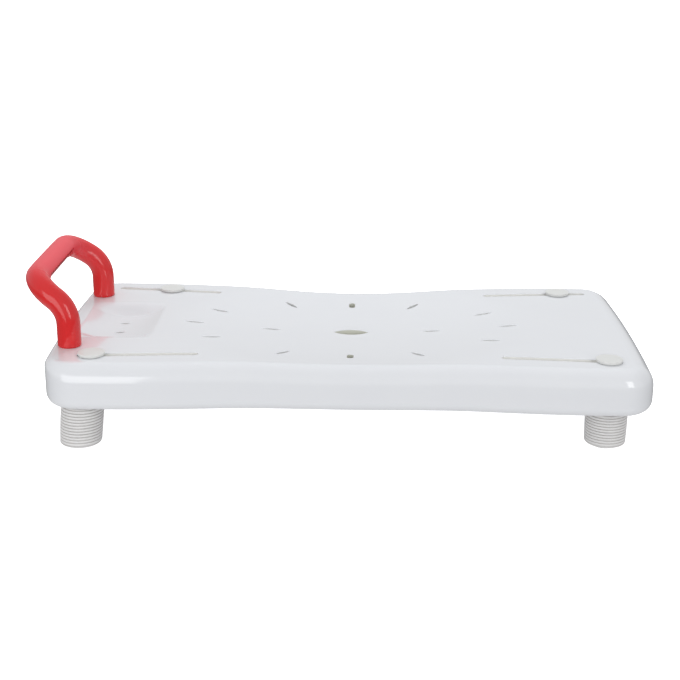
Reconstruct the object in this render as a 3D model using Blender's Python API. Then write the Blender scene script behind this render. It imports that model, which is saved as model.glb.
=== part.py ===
"""Bath board: a hollow moulded seat laid across a bath, with a grab handle and four sliding feet.

Metres, +Z up. X runs along the board, the handle is at the -X end, and -Y is the front.
The part stands on its feet at Z = 0 and its overall box is centred on X = 0 and Y = 0.
"""
import math

import bmesh
import bpy
from mathutils import Vector

# Board outline, seen from above
BOARD_LENGTH = 0.690
BOARD_WIDTH = 0.350
END_BOW = 0.0052
WAIST_DEPTH = 0.0160
WAIST_REACH = 0.288
CORNER_RADIUS = 0.038

# Board section
BOARD_THICKNESS = 0.054
TOP_EDGE_RADIUS = 0.020
HANDLE_END_EDGE_RADIUS = 0.009
FREE_END_EDGE_RADIUS = 0.025
BOTTOM_EDGE_RADIUS = 0.0138
WALL = 0.0035
DISH_DEPTH = 0.013
DISH_REACH_X = 0.200
DISH_REACH_Y = 0.181
DISH_BLEND = 0.25
SAG_DEPTH = 0.003
SAG_REACH = 0.150

# Drain openings in the deck
CENTRE_DRAIN_LENGTH = 0.042
CENTRE_DRAIN_WIDTH = 0.019
DRAIN_SLOT_LENGTH = 0.024
DRAIN_SLOT_WIDTH = 0.0055
DRAIN_SLOTS = ((0.0977, 0.0), (0.0782, 0.094), (0.1915, 0.0), (0.1655, 0.0522))
ROUND_DRAIN_RADIUS = 0.0035
ROUND_DRAIN_Y = 0.100
LENS_POINT = 1.6

# Soap recess between the legs of the handle, placed in from the board's end and long sides
SOAP_INSET = 0.0655
SOAP_HALF_X = 0.0445
SOAP_MARGIN = 0.104
SOAP_DEPTH = 0.0112
SOAP_SQUARENESS = 2.7
SOAP_LIP = 0.0025
SOAP_FLOOR_INSET = 0.024
SOAP_WALL_SHAPE = ((0.0, 0.11), (0.25, 0.50), (0.55, 0.85), (1.0, 1.0))
SOAP_DRAIN_LENGTH = 0.012
SOAP_DRAIN_WIDTH = 0.0045
SOAP_DRAIN_Y = 0.0175
SOAP_DRAIN_TURN = math.radians(15)

# Slots that the feet slide along: their inner and outer ends, in from the board's end and long side
SLOT_WIDTH = 0.0095
SLOT_INNER_INSET = 0.173
SLOT_OUTER_INSET = 0.039
SLOT_INNER_MARGIN = 0.0524
SLOT_OUTER_MARGIN = 0.0401

# How far in from its slot's outer end each foot is locked
LOCK_FRONT_LEFT = 0.0157
LOCK_FRONT_RIGHT = 0.0145
LOCK_BACK_LEFT = 0.0695
LOCK_BACK_RIGHT = 0.0365

# Each foot: its side of the board along X and Y, its place, and which way its thick side points
FEET = {
    "front_left": (-1, -1, LOCK_FRONT_LEFT, math.radians(192)),
    "front_right": (1, -1, LOCK_FRONT_RIGHT, math.radians(74)),
    "back_left": (-1, 1, LOCK_BACK_LEFT, math.radians(150)),
    "back_right": (1, 1, LOCK_BACK_RIGHT, math.radians(35)),
}

# Foot
FOOT_HEIGHT = 0.050
FOOT_TOP_RADIUS = 0.0243
FOOT_BOTTOM_RADIUS = 0.0238
FOOT_LEAN = 0.0045
FOOT_EDGE_RADIUS = 0.003
FOOT_OFFSET = 0.0118
FOOT_RIBS = 12
FOOT_RIB_DEPTH = 0.0008
FOOT_BAND = 0.0025
CORE_RADIUS = 0.0143
CORE_OFFSET = 0.0083
SLEEVE_LIP = 0.0012
SLEEVE_LIP_HEIGHT = 0.0025
THRUST_WASHER_RADIUS = 0.014
THRUST_WASHER_THICKNESS = 0.0014

# Clamping stud, nut and button
STUD_RADIUS = 0.0025
STUD_END_HEIGHT = 0.008
STUD_CHAMFER = 0.0006
NUT_ACROSS_FLATS = 0.008
NUT_HEIGHT = 0.004
NUT_LEVEL = 0.009
BUTTON_RADIUS = 0.01525
BUTTON_RIM = 0.0022
BUTTON_CROWN = 0.0014
BUTTON_EDGE = 0.0007
BUTTON_DOME_RADIUS = 0.009
BUTTON_DOME_RISE = 0.00105
BUTTON_TOP_RADIUS = 0.003
NECK_LENGTH = 0.015
NECK_DEPTH = 0.025
BUTTON_FLOOR = 0.0020

# Grab handle
HANDLE_RADIUS = 0.0135
HANDLE_LEG_INSET = 0.0235
HANDLE_LEG_MARGIN = 0.0735
HANDLE_KNEE_HEIGHT = 0.0438
HANDLE_KNEE_RADIUS = 0.0357
HANDLE_BAR_LEAN = 0.0396
HANDLE_BAR_HEIGHT = 0.0727
HANDLE_BAR_NARROWING = 0.0077
HANDLE_ELBOW_RADIUS = 0.0345
SPIGOT_RADIUS = 0.010
SOCKET_SEAT = 0.0042
SOCKET_FLOOR = 0.005
GRIP_END_MARGIN = 0.0338
GRIP_THICKNESS = 0.0014
GRIP_CROWN = 0.0004
GRIP_START = math.radians(-6)
GRIP_END = math.radians(186)

# Screws that hold the handle from below
COUNTERBORE_RADIUS = 0.008
COUNTERBORE_DEPTH = 0.008
HANDLE_WASHER_RADIUS = 0.0074
HANDLE_WASHER_THICKNESS = 0.0012
SCREW_RADIUS = 0.0029
SCREW_HEAD_RADIUS = 0.0055
SCREW_HEAD_HEIGHT = 0.0035
SCREW_HEAD_FLAT = 0.0033
SCREW_HEAD_DOME = 0.0010
SCREW_TIP_RADIUS = 0.0020
SCREW_LENGTH = 0.022
SCREW_TIP_ROOM = 0.004

# Plug of the moulding vent in the underside
VENT_X = 0.142
VENT_RADIUS = 0.0035
PLUG_HEAD_RADIUS = 0.0065
PLUG_HEAD_THICKNESS = 0.0012
PLUG_HEAD_EDGE = 0.0010
PLUG_LENGTH = 0.007
PLUG_TIP_LENGTH = 0.0014
PLUG_TIP_RADIUS = 0.0022

# Clearances
GAP = 0.0003
BORE_GAP = 0.0003

# How finely round shapes are faceted
END_STEPS = 2
CORNER_STEPS = 5
SIDE_STEPS = 7
DECK_STRIPS = 6
EDGE_STEPS = 3
HOLE_SEGMENTS = 12
ROUND_SEGMENTS = 8
SOAP_SEGMENTS = 24
NUT_SEGMENTS = 12
FOOT_SEGMENTS = 18
TUBE_SEGMENTS = 16
BEND_STEPS = 4

# Worked out from the driving dimensions
UNDERSIDE_Z = FOOT_HEIGHT
DECK_Z = UNDERSIDE_Z + BOARD_THICKNESS
SOAP_X = SOAP_INSET - BOARD_LENGTH / 2
SOAP_HALF_Y = BOARD_WIDTH / 2 - SOAP_MARGIN
SLOT_INNER_X = BOARD_LENGTH / 2 - SLOT_INNER_INSET
SLOT_OUTER_X = BOARD_LENGTH / 2 - SLOT_OUTER_INSET
SLOT_INNER_Y = BOARD_WIDTH / 2 - SLOT_INNER_MARGIN
SLOT_OUTER_Y = BOARD_WIDTH / 2 - SLOT_OUTER_MARGIN
HANDLE_LEG_X = HANDLE_LEG_INSET - BOARD_LENGTH / 2
HANDLE_LEG_Y = BOARD_WIDTH / 2 - HANDLE_LEG_MARGIN
HANDLE_BAR_Y = HANDLE_LEG_Y - HANDLE_BAR_NARROWING
GRIP_LENGTH = 2 * (HANDLE_BAR_Y - GRIP_END_MARGIN)
HANDLE_REACH = -HANDLE_LEG_X + HANDLE_BAR_LEAN + HANDLE_RADIUS + GRIP_CROWN
BOARD_X = (HANDLE_REACH - BOARD_LENGTH / 2) / 2
SLOT_ANGLE = math.atan2(SLOT_OUTER_Y - SLOT_INNER_Y, SLOT_OUTER_X - SLOT_INNER_X)
FOOT_TOP_Z = UNDERSIDE_Z - THRUST_WASHER_THICKNESS - 2 * GAP
SOCKET_TOP_Z = DECK_Z - SOCKET_SEAT
SOCKET_FLOOR_Z = UNDERSIDE_Z + COUNTERBORE_DEPTH
SOCKET_BOTTOM_Z = SOCKET_FLOOR_Z + SOCKET_FLOOR
ABOVE = 0.010


def new_material(name, color, roughness, metallic=0.0):
    """A Principled material of one colour."""
    material = bpy.data.materials.new(name)
    material.use_nodes = True
    shader = material.node_tree.nodes["Principled BSDF"]
    shader.inputs["Base Color"].default_value = (*color, 1.0)
    shader.inputs["Roughness"].default_value = roughness
    shader.inputs["Metallic"].default_value = metallic
    material.diffuse_color = (*color, 1.0)
    return material


def new_mesh(name, points, faces):
    """A mesh whose faces all point outwards, smooth except at its sharp edges."""
    mesh = bpy.data.meshes.new(name)
    mesh.from_pydata([tuple(p) for p in points], [], faces)
    work = bmesh.new()
    work.from_mesh(mesh)
    bmesh.ops.recalc_face_normals(work, faces=work.faces)
    work.to_mesh(mesh)
    work.free()
    mesh.shade_smooth()
    mesh.set_sharp_from_angle(angle=math.radians(35))
    return mesh


def add_object(name, mesh, parent, material=None):
    """An object under its parent, at the parent's origin."""
    thing = bpy.data.objects.new(name, mesh)
    bpy.context.scene.collection.objects.link(thing)
    thing.parent = parent
    if material and not mesh.materials:
        mesh.materials.append(material)
    return thing


def add_empty(name, parent=None, location=(0.0, 0.0, 0.0), turn=0.0):
    """A frame that other objects hang from, turned about +Z."""
    frame = bpy.data.objects.new(name, None)
    frame.location = location
    frame.rotation_euler = (0.0, 0.0, turn)
    frame.empty_display_size = 0.02
    bpy.context.scene.collection.objects.link(frame)
    frame.parent = parent
    return frame


def boolean(thing, tool, operation="DIFFERENCE"):
    """Cuts with, or joins, a tool that is itself left out of the model."""
    tool.hide_render = True
    tool.display_type = "WIRE"
    modifier = thing.modifiers.new(tool.name, "BOOLEAN")
    modifier.object = tool
    modifier.operation = operation
    modifier.solver = "EXACT"


def circle(radius, z, count, x=0.0, y=0.0, start=0.0):
    """Points round a circle at one height."""
    turn = 2 * math.pi / count
    return [(x + radius * math.cos(start + i * turn), y + radius * math.sin(start + i * turn), z)
            for i in range(count)]


def loft(rings, ring_shaped=False):
    """Skins rings of equal count, with flat ends, or joined end to end when ring_shaped."""
    count = len(rings[0])
    points = [p for ring in rings for p in ring]
    faces = []
    pairs = len(rings) if ring_shaped else len(rings) - 1
    for k in range(pairs):
        low = k * count
        high = (k + 1) % len(rings) * count
        for i in range(count):
            j = (i + 1) % count
            faces.append((low + i, low + j, high + j, high + i))
    if not ring_shaped:
        faces.append(tuple(reversed(range(count))))
        faces.append(tuple(range(len(points) - count, len(points))))
    return points, faces


def together(*solids):
    """Several separate solids as the points and faces of one mesh."""
    points, faces = [], []
    for solid_points, solid_faces in solids:
        base = len(points)
        points += list(solid_points)
        faces += [tuple(base + i for i in face) for face in solid_faces]
    return points, faces


def turned(profile, count, x=0.0, y=0.0):
    """A solid turned about a vertical axis, from its (radius, height) profile."""
    return loft([circle(r, z, count, x, y, math.pi / count) for r, z in profile])


def prism(outline, low, high):
    """An upright prism over a flat outline."""
    return loft([[(x, y, low) for x, y in outline], [(x, y, high) for x, y in outline]])


def placed(outline, x, y, turn):
    """A flat outline turned and moved into place."""
    c, s = math.cos(turn), math.sin(turn)
    return [(x + px * c - py * s, y + px * s + py * c) for px, py in outline]


def lens(length, width, count=HOLE_SEGMENTS):
    """A lens outline: two shallow arcs that meet in rounded points."""
    outline = []
    for i in range(count):
        a = 2 * math.pi * (i + 0.5) / count
        along = math.cos(a)
        across = math.copysign(abs(math.sin(a)) ** LENS_POINT, math.sin(a))
        outline.append((length / 2 * along, width / 2 * across))
    return outline


def stadium(length, width, count=HOLE_SEGMENTS):
    """A slot outline with half-round ends, its length along X."""
    radius = width / 2
    straight = length / 2 - radius
    half = count // 2
    right = [(straight + radius * math.cos(a), radius * math.sin(a))
             for a in (math.pi * (i / half - 0.5) for i in range(half + 1))]
    return right + [(-x, -y) for x, y in right]


def deck_height(x, y):
    """The seat's surface: level at the rim and dished towards the centre drain."""
    room = 1 - (x / DISH_REACH_X) ** 2 - (y / DISH_REACH_Y) ** 2
    dish = (room + math.sqrt(room * room + DISH_BLEND ** 2)) / 2
    return DECK_Z - DISH_DEPTH * min(1.0, dish)


def underside_height(x):
    """The underside: flat where it rests and where feet slide, a little lower in the middle."""
    if abs(x) >= SAG_REACH:
        return UNDERSIDE_Z
    return UNDERSIDE_Z - SAG_DEPTH * math.cos(math.pi * x / (2 * SAG_REACH)) ** 2


def side_edge(x):
    """Half the board's width at x, drawn in at the waist."""
    if abs(x) >= WAIST_REACH:
        return BOARD_WIDTH / 2
    return BOARD_WIDTH / 2 - WAIST_DEPTH * math.cos(math.pi * x / (2 * WAIST_REACH)) ** 2


def end_edge(y):
    """The board's end at y, bowed outwards."""
    return BOARD_LENGTH / 2 - END_BOW * (y / (BOARD_WIDTH / 2)) ** 2


def quarter_outline():
    """(point, outward normal) from the middle of the +X end round to the middle of the +Y side."""
    tilt = 0.0
    for _ in range(4):
        corner_y = BOARD_WIDTH / 2 - CORNER_RADIUS * (1 - math.sin(tilt))
        tilt = math.atan(2 * END_BOW * corner_y / (BOARD_WIDTH / 2) ** 2)
    centre = (end_edge(corner_y) - CORNER_RADIUS * math.cos(tilt), BOARD_WIDTH / 2 - CORNER_RADIUS)
    stations = []
    for i in range(END_STEPS):
        y = corner_y * i / END_STEPS
        slope = 2 * END_BOW * y / (BOARD_WIDTH / 2) ** 2
        stations.append(((end_edge(y), y), (math.cos(math.atan(slope)), math.sin(math.atan(slope)))))
    for i in range(CORNER_STEPS):
        a = tilt + (math.pi / 2 - tilt) * i / CORNER_STEPS
        point = (centre[0] + CORNER_RADIUS * math.cos(a), centre[1] + CORNER_RADIUS * math.sin(a))
        stations.append((point, (math.cos(a), math.sin(a))))
    for i in range(SIDE_STEPS + 1):
        x = centre[0] * (1 - i / SIDE_STEPS)
        step = 0.0005
        slope = (side_edge(x + step) - side_edge(x - step)) / (2 * step)
        size = math.hypot(slope, 1.0)
        stations.append(((x, side_edge(x)), (-slope / size, 1.0 / size)))
    return stations


def board_outline():
    """The whole outline, anticlockwise from the middle of the +X end."""
    quarter = quarter_outline()
    top_left = [((-x, y), (-nx, ny)) for (x, y), (nx, ny) in reversed(quarter[:-1])]
    half = quarter + top_left
    bottom = [((x, -y), (nx, -ny)) for (x, y), (nx, ny) in reversed(half[1:-1])]
    return half + bottom


def top_edge_radius(nx, ny):
    """The rolled edge's radius by its outward direction, tight at the handle's end and fuller at the other."""
    end = HANDLE_END_EDGE_RADIUS if nx < 0 else FREE_END_EDGE_RADIUS
    return end * nx * nx + TOP_EDGE_RADIUS * ny * ny


def board_shell(wall):
    """The board's outer skin, or with a wall thickness the hollow inside it."""
    stations = board_outline()
    count = len(stations)
    bottom_radius = BOTTOM_EDGE_RADIUS - wall
    rings = []
    for k in range(EDGE_STEPS + 1):
        a = math.pi / 2 * k / EDGE_STEPS
        ring = []
        for (x, y), (nx, ny) in stations:
            outer_radius = top_edge_radius(nx, ny)
            radius = outer_radius - wall
            inset = wall + radius * (1 - math.sin(a))
            rim = deck_height(x - nx * outer_radius, y - ny * outer_radius) - wall
            ring.append((x - nx * inset, y - ny * inset, rim - radius * (1 - math.cos(a))))
        rings.append(ring)
    for k in range(EDGE_STEPS + 1):
        a = math.pi / 2 * k / EDGE_STEPS
        ring = []
        for (x, y), (nx, ny) in stations:
            inset = wall + bottom_radius * (1 - math.cos(a))
            foot = underside_height(x) + wall
            ring.append((x - nx * inset, y - ny * inset, foot + bottom_radius * (1 - math.sin(a))))
        rings.append(ring)
    points, faces = loft(rings)
    faces = faces[:-2]
    faces += ladder(points, rings[0], 0, lambda x, y: deck_height(x, y) - wall)
    last = (len(rings) - 1) * count
    faces += ladder(points, rings[-1], last, lambda x, y: underside_height(x) + wall)
    return points, faces


def ladder(points, ring, base, height):
    """Fills a ring with strips between its front and back halves, at the given height."""
    count = len(ring)
    half = count // 2
    rows = []
    for i in range(1, half):
        back, front = base + i, base + count - i
        inner = []
        for k in range(1, DECK_STRIPS):
            t = k / DECK_STRIPS
            x = ring[i][0] * (1 - t) + ring[count - i][0] * t
            y = ring[i][1] * (1 - t) + ring[count - i][1] * t
            inner.append(len(points))
            points.append((x, y, height(x, y)))
        rows.append([back] + inner + [front])
    faces = []
    for one, two in zip(rows, rows[1:]):
        faces += [(one[k], one[k + 1], two[k + 1], two[k]) for k in range(DECK_STRIPS)]
    for tip, row in ((base, rows[0]), (base + half, rows[-1])):
        faces += [(tip, row[k], row[k + 1]) for k in range(DECK_STRIPS)]
    return faces


def slot_point(side_x, side_y, along):
    """The point on a slot's centre line at the distance along from the board's middle."""
    y = SLOT_INNER_Y + (along - SLOT_INNER_X) * math.tan(SLOT_ANGLE)
    return side_x * along, side_y * y


def slot_turn(side_x, side_y):
    """The direction of a slot, outwards, as a turn about +Z."""
    return math.atan2(side_y * math.sin(SLOT_ANGLE), side_x * math.cos(SLOT_ANGLE))


def deck_openings(grow, low, high):
    """Every opening through the board, as upright solids that may be grown by a wall."""
    solids = []
    centre = lens(CENTRE_DRAIN_LENGTH + 2 * grow, CENTRE_DRAIN_WIDTH + 2 * grow, HOLE_SEGMENTS + 4)
    solids.append(prism(centre, low, high))
    for side_y in (-1, 1):
        profile = [(ROUND_DRAIN_RADIUS + grow, low), (ROUND_DRAIN_RADIUS + grow, high)]
        solids.append(turned(profile, ROUND_SEGMENTS, 0.0, side_y * ROUND_DRAIN_Y))
    shape = lens(DRAIN_SLOT_LENGTH + 2 * grow, DRAIN_SLOT_WIDTH + 2 * grow)
    for x, y in DRAIN_SLOTS:
        for side_x in (-1, 1):
            for side_y in ((-1, 1) if y else (1,)):
                turn = math.atan2(side_y * y, side_x * x)
                solids.append(prism(placed(shape, side_x * x, side_y * y, turn), low, high))
    slot_length = (SLOT_OUTER_X - SLOT_INNER_X) / math.cos(SLOT_ANGLE)
    shape = stadium(slot_length + 2 * grow, SLOT_WIDTH + 2 * grow)
    for side_x, side_y, _, _ in FEET.values():
        x, y = slot_point(side_x, side_y, (SLOT_INNER_X + SLOT_OUTER_X) / 2)
        solids.append(prism(placed(shape, x, y, slot_turn(side_x, side_y)), low, high))
    shape = lens(SOAP_DRAIN_LENGTH + 2 * grow, SOAP_DRAIN_WIDTH + 2 * grow)
    for side_y in (-1, 1):
        outline = placed(shape, SOAP_X, side_y * SOAP_DRAIN_Y, SOAP_DRAIN_TURN)
        solids.append(prism(outline, low, high))
    return solids


def squared_round():
    """A circle of radius one that bulges towards its square, as the soap recess does."""
    outline = []
    for i in range(SOAP_SEGMENTS):
        a = 2 * math.pi * (i + 0.5) / SOAP_SEGMENTS
        c, s = math.cos(a), math.sin(a)
        reach = (abs(c) ** SOAP_SQUARENESS + abs(s) ** SOAP_SQUARENESS) ** (-1 / SOAP_SQUARENESS)
        outline.append((reach * c, reach * s))
    return outline


def soap_bowl(grow):
    """The soap recess, or with a wall thickness the outside of its bowl."""
    profile = [(-SOAP_LIP, ABOVE), (-SOAP_LIP, 0.0)]
    profile += [(SOAP_FLOOR_INSET * inward, -SOAP_DEPTH * down) for inward, down in SOAP_WALL_SHAPE]
    rings = []
    for inset, drop in profile:
        half_x = SOAP_HALF_X - inset + grow
        half_y = SOAP_HALF_Y - inset + grow
        rings.append([(SOAP_X + half_x * x, half_y * y, DECK_Z + drop - grow) for x, y in squared_round()])
    return loft(rings)


def handle_sockets(grow, seat):
    """Sockets of the handle's legs, as turned solids that may be grown by a wall."""
    solids = []
    for side_y in (-1, 1):
        if grow:
            profile = [(SPIGOT_RADIUS + GAP + grow, UNDERSIDE_Z - ABOVE),
                       (SPIGOT_RADIUS + GAP + grow, SOCKET_TOP_Z - WALL),
                       (HANDLE_RADIUS + GAP + grow, SOCKET_TOP_Z - WALL),
                       (HANDLE_RADIUS + GAP + grow, DECK_Z + ABOVE)]
        else:
            profile = [(COUNTERBORE_RADIUS, UNDERSIDE_Z - ABOVE), (COUNTERBORE_RADIUS, SOCKET_FLOOR_Z),
                       (SCREW_RADIUS + BORE_GAP, SOCKET_FLOOR_Z),
                       (SCREW_RADIUS + BORE_GAP, SOCKET_BOTTOM_Z),
                       (SPIGOT_RADIUS + GAP, SOCKET_BOTTOM_Z), (SPIGOT_RADIUS + GAP, SOCKET_TOP_Z),
                       (HANDLE_RADIUS + GAP, SOCKET_TOP_Z), (HANDLE_RADIUS + GAP, seat)]
        solids.append(turned(profile, TUBE_SEGMENTS, HANDLE_LEG_X, side_y * HANDLE_LEG_Y))
    return solids


def make_board(frame, material):
    """The hollow body: outer skin, less the hollow, less every opening."""
    board = add_object("board", new_mesh("board", *board_shell(0.0)), frame, material)
    hollow = add_object("board_hollow", new_mesh("board_hollow", *board_shell(WALL)), frame)
    below = UNDERSIDE_Z - SAG_DEPTH - ABOVE
    posts = together(*deck_openings(WALL, below, DECK_Z + ABOVE), *handle_sockets(WALL, DECK_Z))
    for name, solid in (("board_posts", posts), ("soap_bowl_outside", soap_bowl(WALL))):
        boolean(hollow, add_object(name, new_mesh(name, *solid), frame))
    boolean(board, hollow)
    vent = [(VENT_RADIUS, below), (VENT_RADIUS, UNDERSIDE_Z + 2 * WALL)]
    sockets = handle_sockets(0.0, DECK_Z + ABOVE)
    drains_and_slots = deck_openings(0.0, below, DECK_Z + ABOVE)
    openings = together(*drains_and_slots, *sockets, turned(vent, ROUND_SEGMENTS, VENT_X))
    for name, solid in (("soap_bowl_inside", soap_bowl(0.0)), ("board_openings", openings)):
        boolean(board, add_object(name, new_mesh(name, *solid), frame))
    return board


def rounded_path(corners, radii):
    """A route through corner points, each corner rounded by an arc."""
    path = [corners[0]]
    for before, corner, after, radius in zip(corners, corners[1:], corners[2:], radii):
        one = (before - corner).normalized()
        two = (after - corner).normalized()
        half = one.angle(two) / 2
        centre = corner + (one + two).normalized() * radius / math.sin(half)
        start = corner + one * radius / math.tan(half) - centre
        end = corner + two * radius / math.tan(half) - centre
        sweep = math.pi - 2 * half
        for k in range(BEND_STEPS + 1):
            t = k / BEND_STEPS
            arm = start * math.sin((1 - t) * sweep) + end * math.sin(t * sweep)
            path.append(centre + arm / math.sin(sweep))
    path.append(corners[-1])
    return path


def tube(path, radii, count):
    """A solid round bar along a path, with its own radius at each point."""
    rings = []
    across = Vector((0.0, 1.0, 0.0))
    for i, point in enumerate(path):
        ahead = path[min(i + 1, len(path) - 1)] - point
        behind = point - path[max(i - 1, 0)]
        along = (ahead.normalized() + behind.normalized()).normalized()
        across = (across - along * across.dot(along)).normalized()
        other = along.cross(across)
        rings.append([tuple(point + (across * math.cos(a) + other * math.sin(a)) * radii[i])
                      for a in (2 * math.pi * k / count for k in range(count))])
    return loft(rings)


def handle_corners():
    """The corner points of the handle's centre line, front leg first."""
    front = [Vector((HANDLE_LEG_X, -HANDLE_LEG_Y, DECK_Z)),
             Vector((HANDLE_LEG_X, -HANDLE_LEG_Y, DECK_Z + HANDLE_KNEE_HEIGHT)),
             Vector((HANDLE_LEG_X - HANDLE_BAR_LEAN, -HANDLE_BAR_Y, DECK_Z + HANDLE_BAR_HEIGHT))]
    back = [Vector((p.x, -p.y, p.z)) for p in reversed(front)]
    return front + back


def make_handle(frame, material):
    """The bent bar, its legs stepped down to spigots, with screw holes and a seat for the grip."""
    corners = handle_corners()
    bends = [HANDLE_KNEE_RADIUS, HANDLE_ELBOW_RADIUS, HANDLE_ELBOW_RADIUS, HANDLE_KNEE_RADIUS]
    path = rounded_path(corners, bends)
    middle = len(path) // 2
    bar_x, bar_z = HANDLE_LEG_X - HANDLE_BAR_LEAN, DECK_Z + HANDLE_BAR_HEIGHT
    seat = GRIP_LENGTH / 2 + GAP
    ends = (-seat - GRIP_THICKNESS, -seat, seat, seat + GRIP_THICKNESS)
    grip_seat = [Vector((bar_x, y, bar_z)) for y in ends]
    shoulder = SOCKET_TOP_Z + GAP
    tip = SOCKET_BOTTOM_Z + GAP
    step = SPIGOT_RADIUS / 100
    front = [Vector((HANDLE_LEG_X, -HANDLE_LEG_Y, z)) for z in (tip, shoulder, shoulder + step)]
    back = [Vector((p.x, -p.y, p.z)) for p in reversed(front)]
    under = HANDLE_RADIUS - GRIP_THICKNESS - GAP
    points = front + path[1:middle] + grip_seat + path[middle:-1] + back
    plain = [HANDLE_RADIUS] * (middle - 1)
    radii = [SPIGOT_RADIUS, SPIGOT_RADIUS, HANDLE_RADIUS] + plain
    radii += [HANDLE_RADIUS, under, under, HANDLE_RADIUS]
    radii += plain + [HANDLE_RADIUS, SPIGOT_RADIUS, SPIGOT_RADIUS]
    handle = add_object("handle", new_mesh("handle", *tube(points, radii, TUBE_SEGMENTS)), frame, material)
    top = SOCKET_FLOOR_Z - HANDLE_WASHER_THICKNESS + SCREW_LENGTH + SCREW_TIP_ROOM
    bore = [(SCREW_RADIUS + BORE_GAP, tip - GAP), (SCREW_RADIUS + BORE_GAP, top)]
    legs = (-HANDLE_LEG_Y, HANDLE_LEG_Y)
    bores = together(*[turned(bore, ROUND_SEGMENTS, HANDLE_LEG_X, y) for y in legs])
    boolean(handle, add_object("handle_bores", new_mesh("handle_bores", *bores), frame))
    return handle


def make_grip(frame, material):
    """The saddle of softer plastic over the cross bar, open along its lower side."""
    bar_x, bar_z = HANDLE_LEG_X - HANDLE_BAR_LEAN, DECK_Z + HANDLE_BAR_HEIGHT
    steps = TUBE_SEGMENTS
    angles = [GRIP_START + (GRIP_END - GRIP_START) * i / steps for i in range(steps + 1)]
    rings = []
    for y in (-GRIP_LENGTH / 2, GRIP_LENGTH / 2):
        outer = [(HANDLE_RADIUS + GRIP_CROWN, a) for a in angles]
        inner = [(HANDLE_RADIUS - GRIP_THICKNESS, a) for a in reversed(angles)]
        rings.append([(bar_x + r * math.cos(a), y, bar_z + r * math.sin(a)) for r, a in outer + inner])
    return add_object("handle_grip", new_mesh("handle_grip", *loft(rings)), frame, material)


def make_handle_fixings(frame, steel, rubber):
    """A pan-head screw and a sealing washer under each leg of the handle."""
    top = SOCKET_FLOOR_Z - GAP
    low = top - HANDLE_WASHER_THICKNESS
    head = low - GAP
    for name, side_y in (("front", -1), ("back", 1)):
        x, y = HANDLE_LEG_X, side_y * HANDLE_LEG_Y
        profile = [(SCREW_HEAD_FLAT, head - SCREW_HEAD_HEIGHT),
                   (SCREW_HEAD_RADIUS, head - SCREW_HEAD_HEIGHT + SCREW_HEAD_DOME),
                   (SCREW_HEAD_RADIUS, head),
                   (SCREW_RADIUS, head), (SCREW_RADIUS, head + SCREW_LENGTH),
                   (SCREW_TIP_RADIUS, head + SCREW_LENGTH + SCREW_HEAD_DOME)]
        screw = new_mesh("handle_screw_" + name, *turned(profile, HOLE_SEGMENTS, x, y))
        add_object("handle_screw_" + name, screw, frame, steel)
        hole = SCREW_RADIUS + BORE_GAP
        profile = [(hole, low), (HANDLE_WASHER_RADIUS, low), (HANDLE_WASHER_RADIUS, top), (hole, top)]
        rings = [circle(r, z, HOLE_SEGMENTS, x, y) for r, z in profile]
        washer = new_mesh("handle_washer_" + name, *loft(rings, ring_shaped=True))
        add_object("handle_washer_" + name, washer, frame, rubber)


def make_vent_plug(frame, material):
    """The push-in plug that keeps water out of the hollow."""
    head = UNDERSIDE_Z - GAP
    stem = VENT_RADIUS - BORE_GAP
    profile = [(PLUG_HEAD_RADIUS - PLUG_HEAD_EDGE, head - PLUG_HEAD_THICKNESS),
               (PLUG_HEAD_RADIUS, head - PLUG_HEAD_THICKNESS / 2), (PLUG_HEAD_RADIUS, head), (stem, head),
               (stem, head + PLUG_LENGTH - PLUG_TIP_LENGTH), (PLUG_TIP_RADIUS, head + PLUG_LENGTH)]
    mesh = new_mesh("vent_plug", *turned(profile, HOLE_SEGMENTS, VENT_X))
    return add_object("vent_plug", mesh, frame, material)


def button_shapes():
    """The button's turned profile, the long neck that keeps it from turning in the slot, and its bore."""
    low = DECK_Z + GAP
    rim = low + BUTTON_RIM
    crown = rim + BUTTON_CROWN
    profile = [(BUTTON_RADIUS, low), (BUTTON_RADIUS, rim - BUTTON_EDGE), (BUTTON_RADIUS - BUTTON_EDGE, rim),
               (BUTTON_DOME_RADIUS, rim + BUTTON_DOME_RISE), (BUTTON_TOP_RADIUS, crown)]
    neck = prism(stadium(NECK_LENGTH, SLOT_WIDTH - 2 * GAP), low - NECK_DEPTH, low + BUTTON_RIM / 2)
    bore = STUD_RADIUS + BORE_GAP
    hole = turned([(bore, low - NECK_DEPTH - ABOVE), (bore, crown - BUTTON_FLOOR)], HOLE_SEGMENTS)
    return profile, neck, hole


def make_button(name, frame, material, shapes):
    """One button: the disc that rides on the deck, joined to its neck and bored for the stud."""
    profile, neck, hole = shapes
    button = add_object(name, new_mesh(name, *turned(profile, FOOT_SEGMENTS + 4)), frame, material)
    boolean(button, add_object(name + "_neck", new_mesh(name + "_neck", *neck), frame), "UNION")
    boolean(button, add_object(name + "_hole", new_mesh(name + "_hole", *hole), frame))
    return button


def stud_solid():
    """The threaded stud, from the button's neck down through the foot."""
    top = DECK_Z + GAP + BUTTON_RIM + BUTTON_CROWN - BUTTON_FLOOR - GAP
    inner = STUD_RADIUS - STUD_CHAMFER
    profile = [(inner, STUD_END_HEIGHT), (STUD_RADIUS, STUD_END_HEIGHT + STUD_CHAMFER),
               (STUD_RADIUS, top - STUD_CHAMFER), (inner, top)]
    return turned(profile, ROUND_SEGMENTS)


def thrust_washer_solid():
    """The slip washer between the foot and the board's underside."""
    low = FOOT_TOP_Z + GAP
    high = low + THRUST_WASHER_THICKNESS
    hole = STUD_RADIUS + BORE_GAP
    profile = [(hole, low), (THRUST_WASHER_RADIUS, low), (THRUST_WASHER_RADIUS, high), (hole, high)]
    return loft([circle(r, z, FOOT_SEGMENTS) for r, z in profile], ring_shaped=True)


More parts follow.
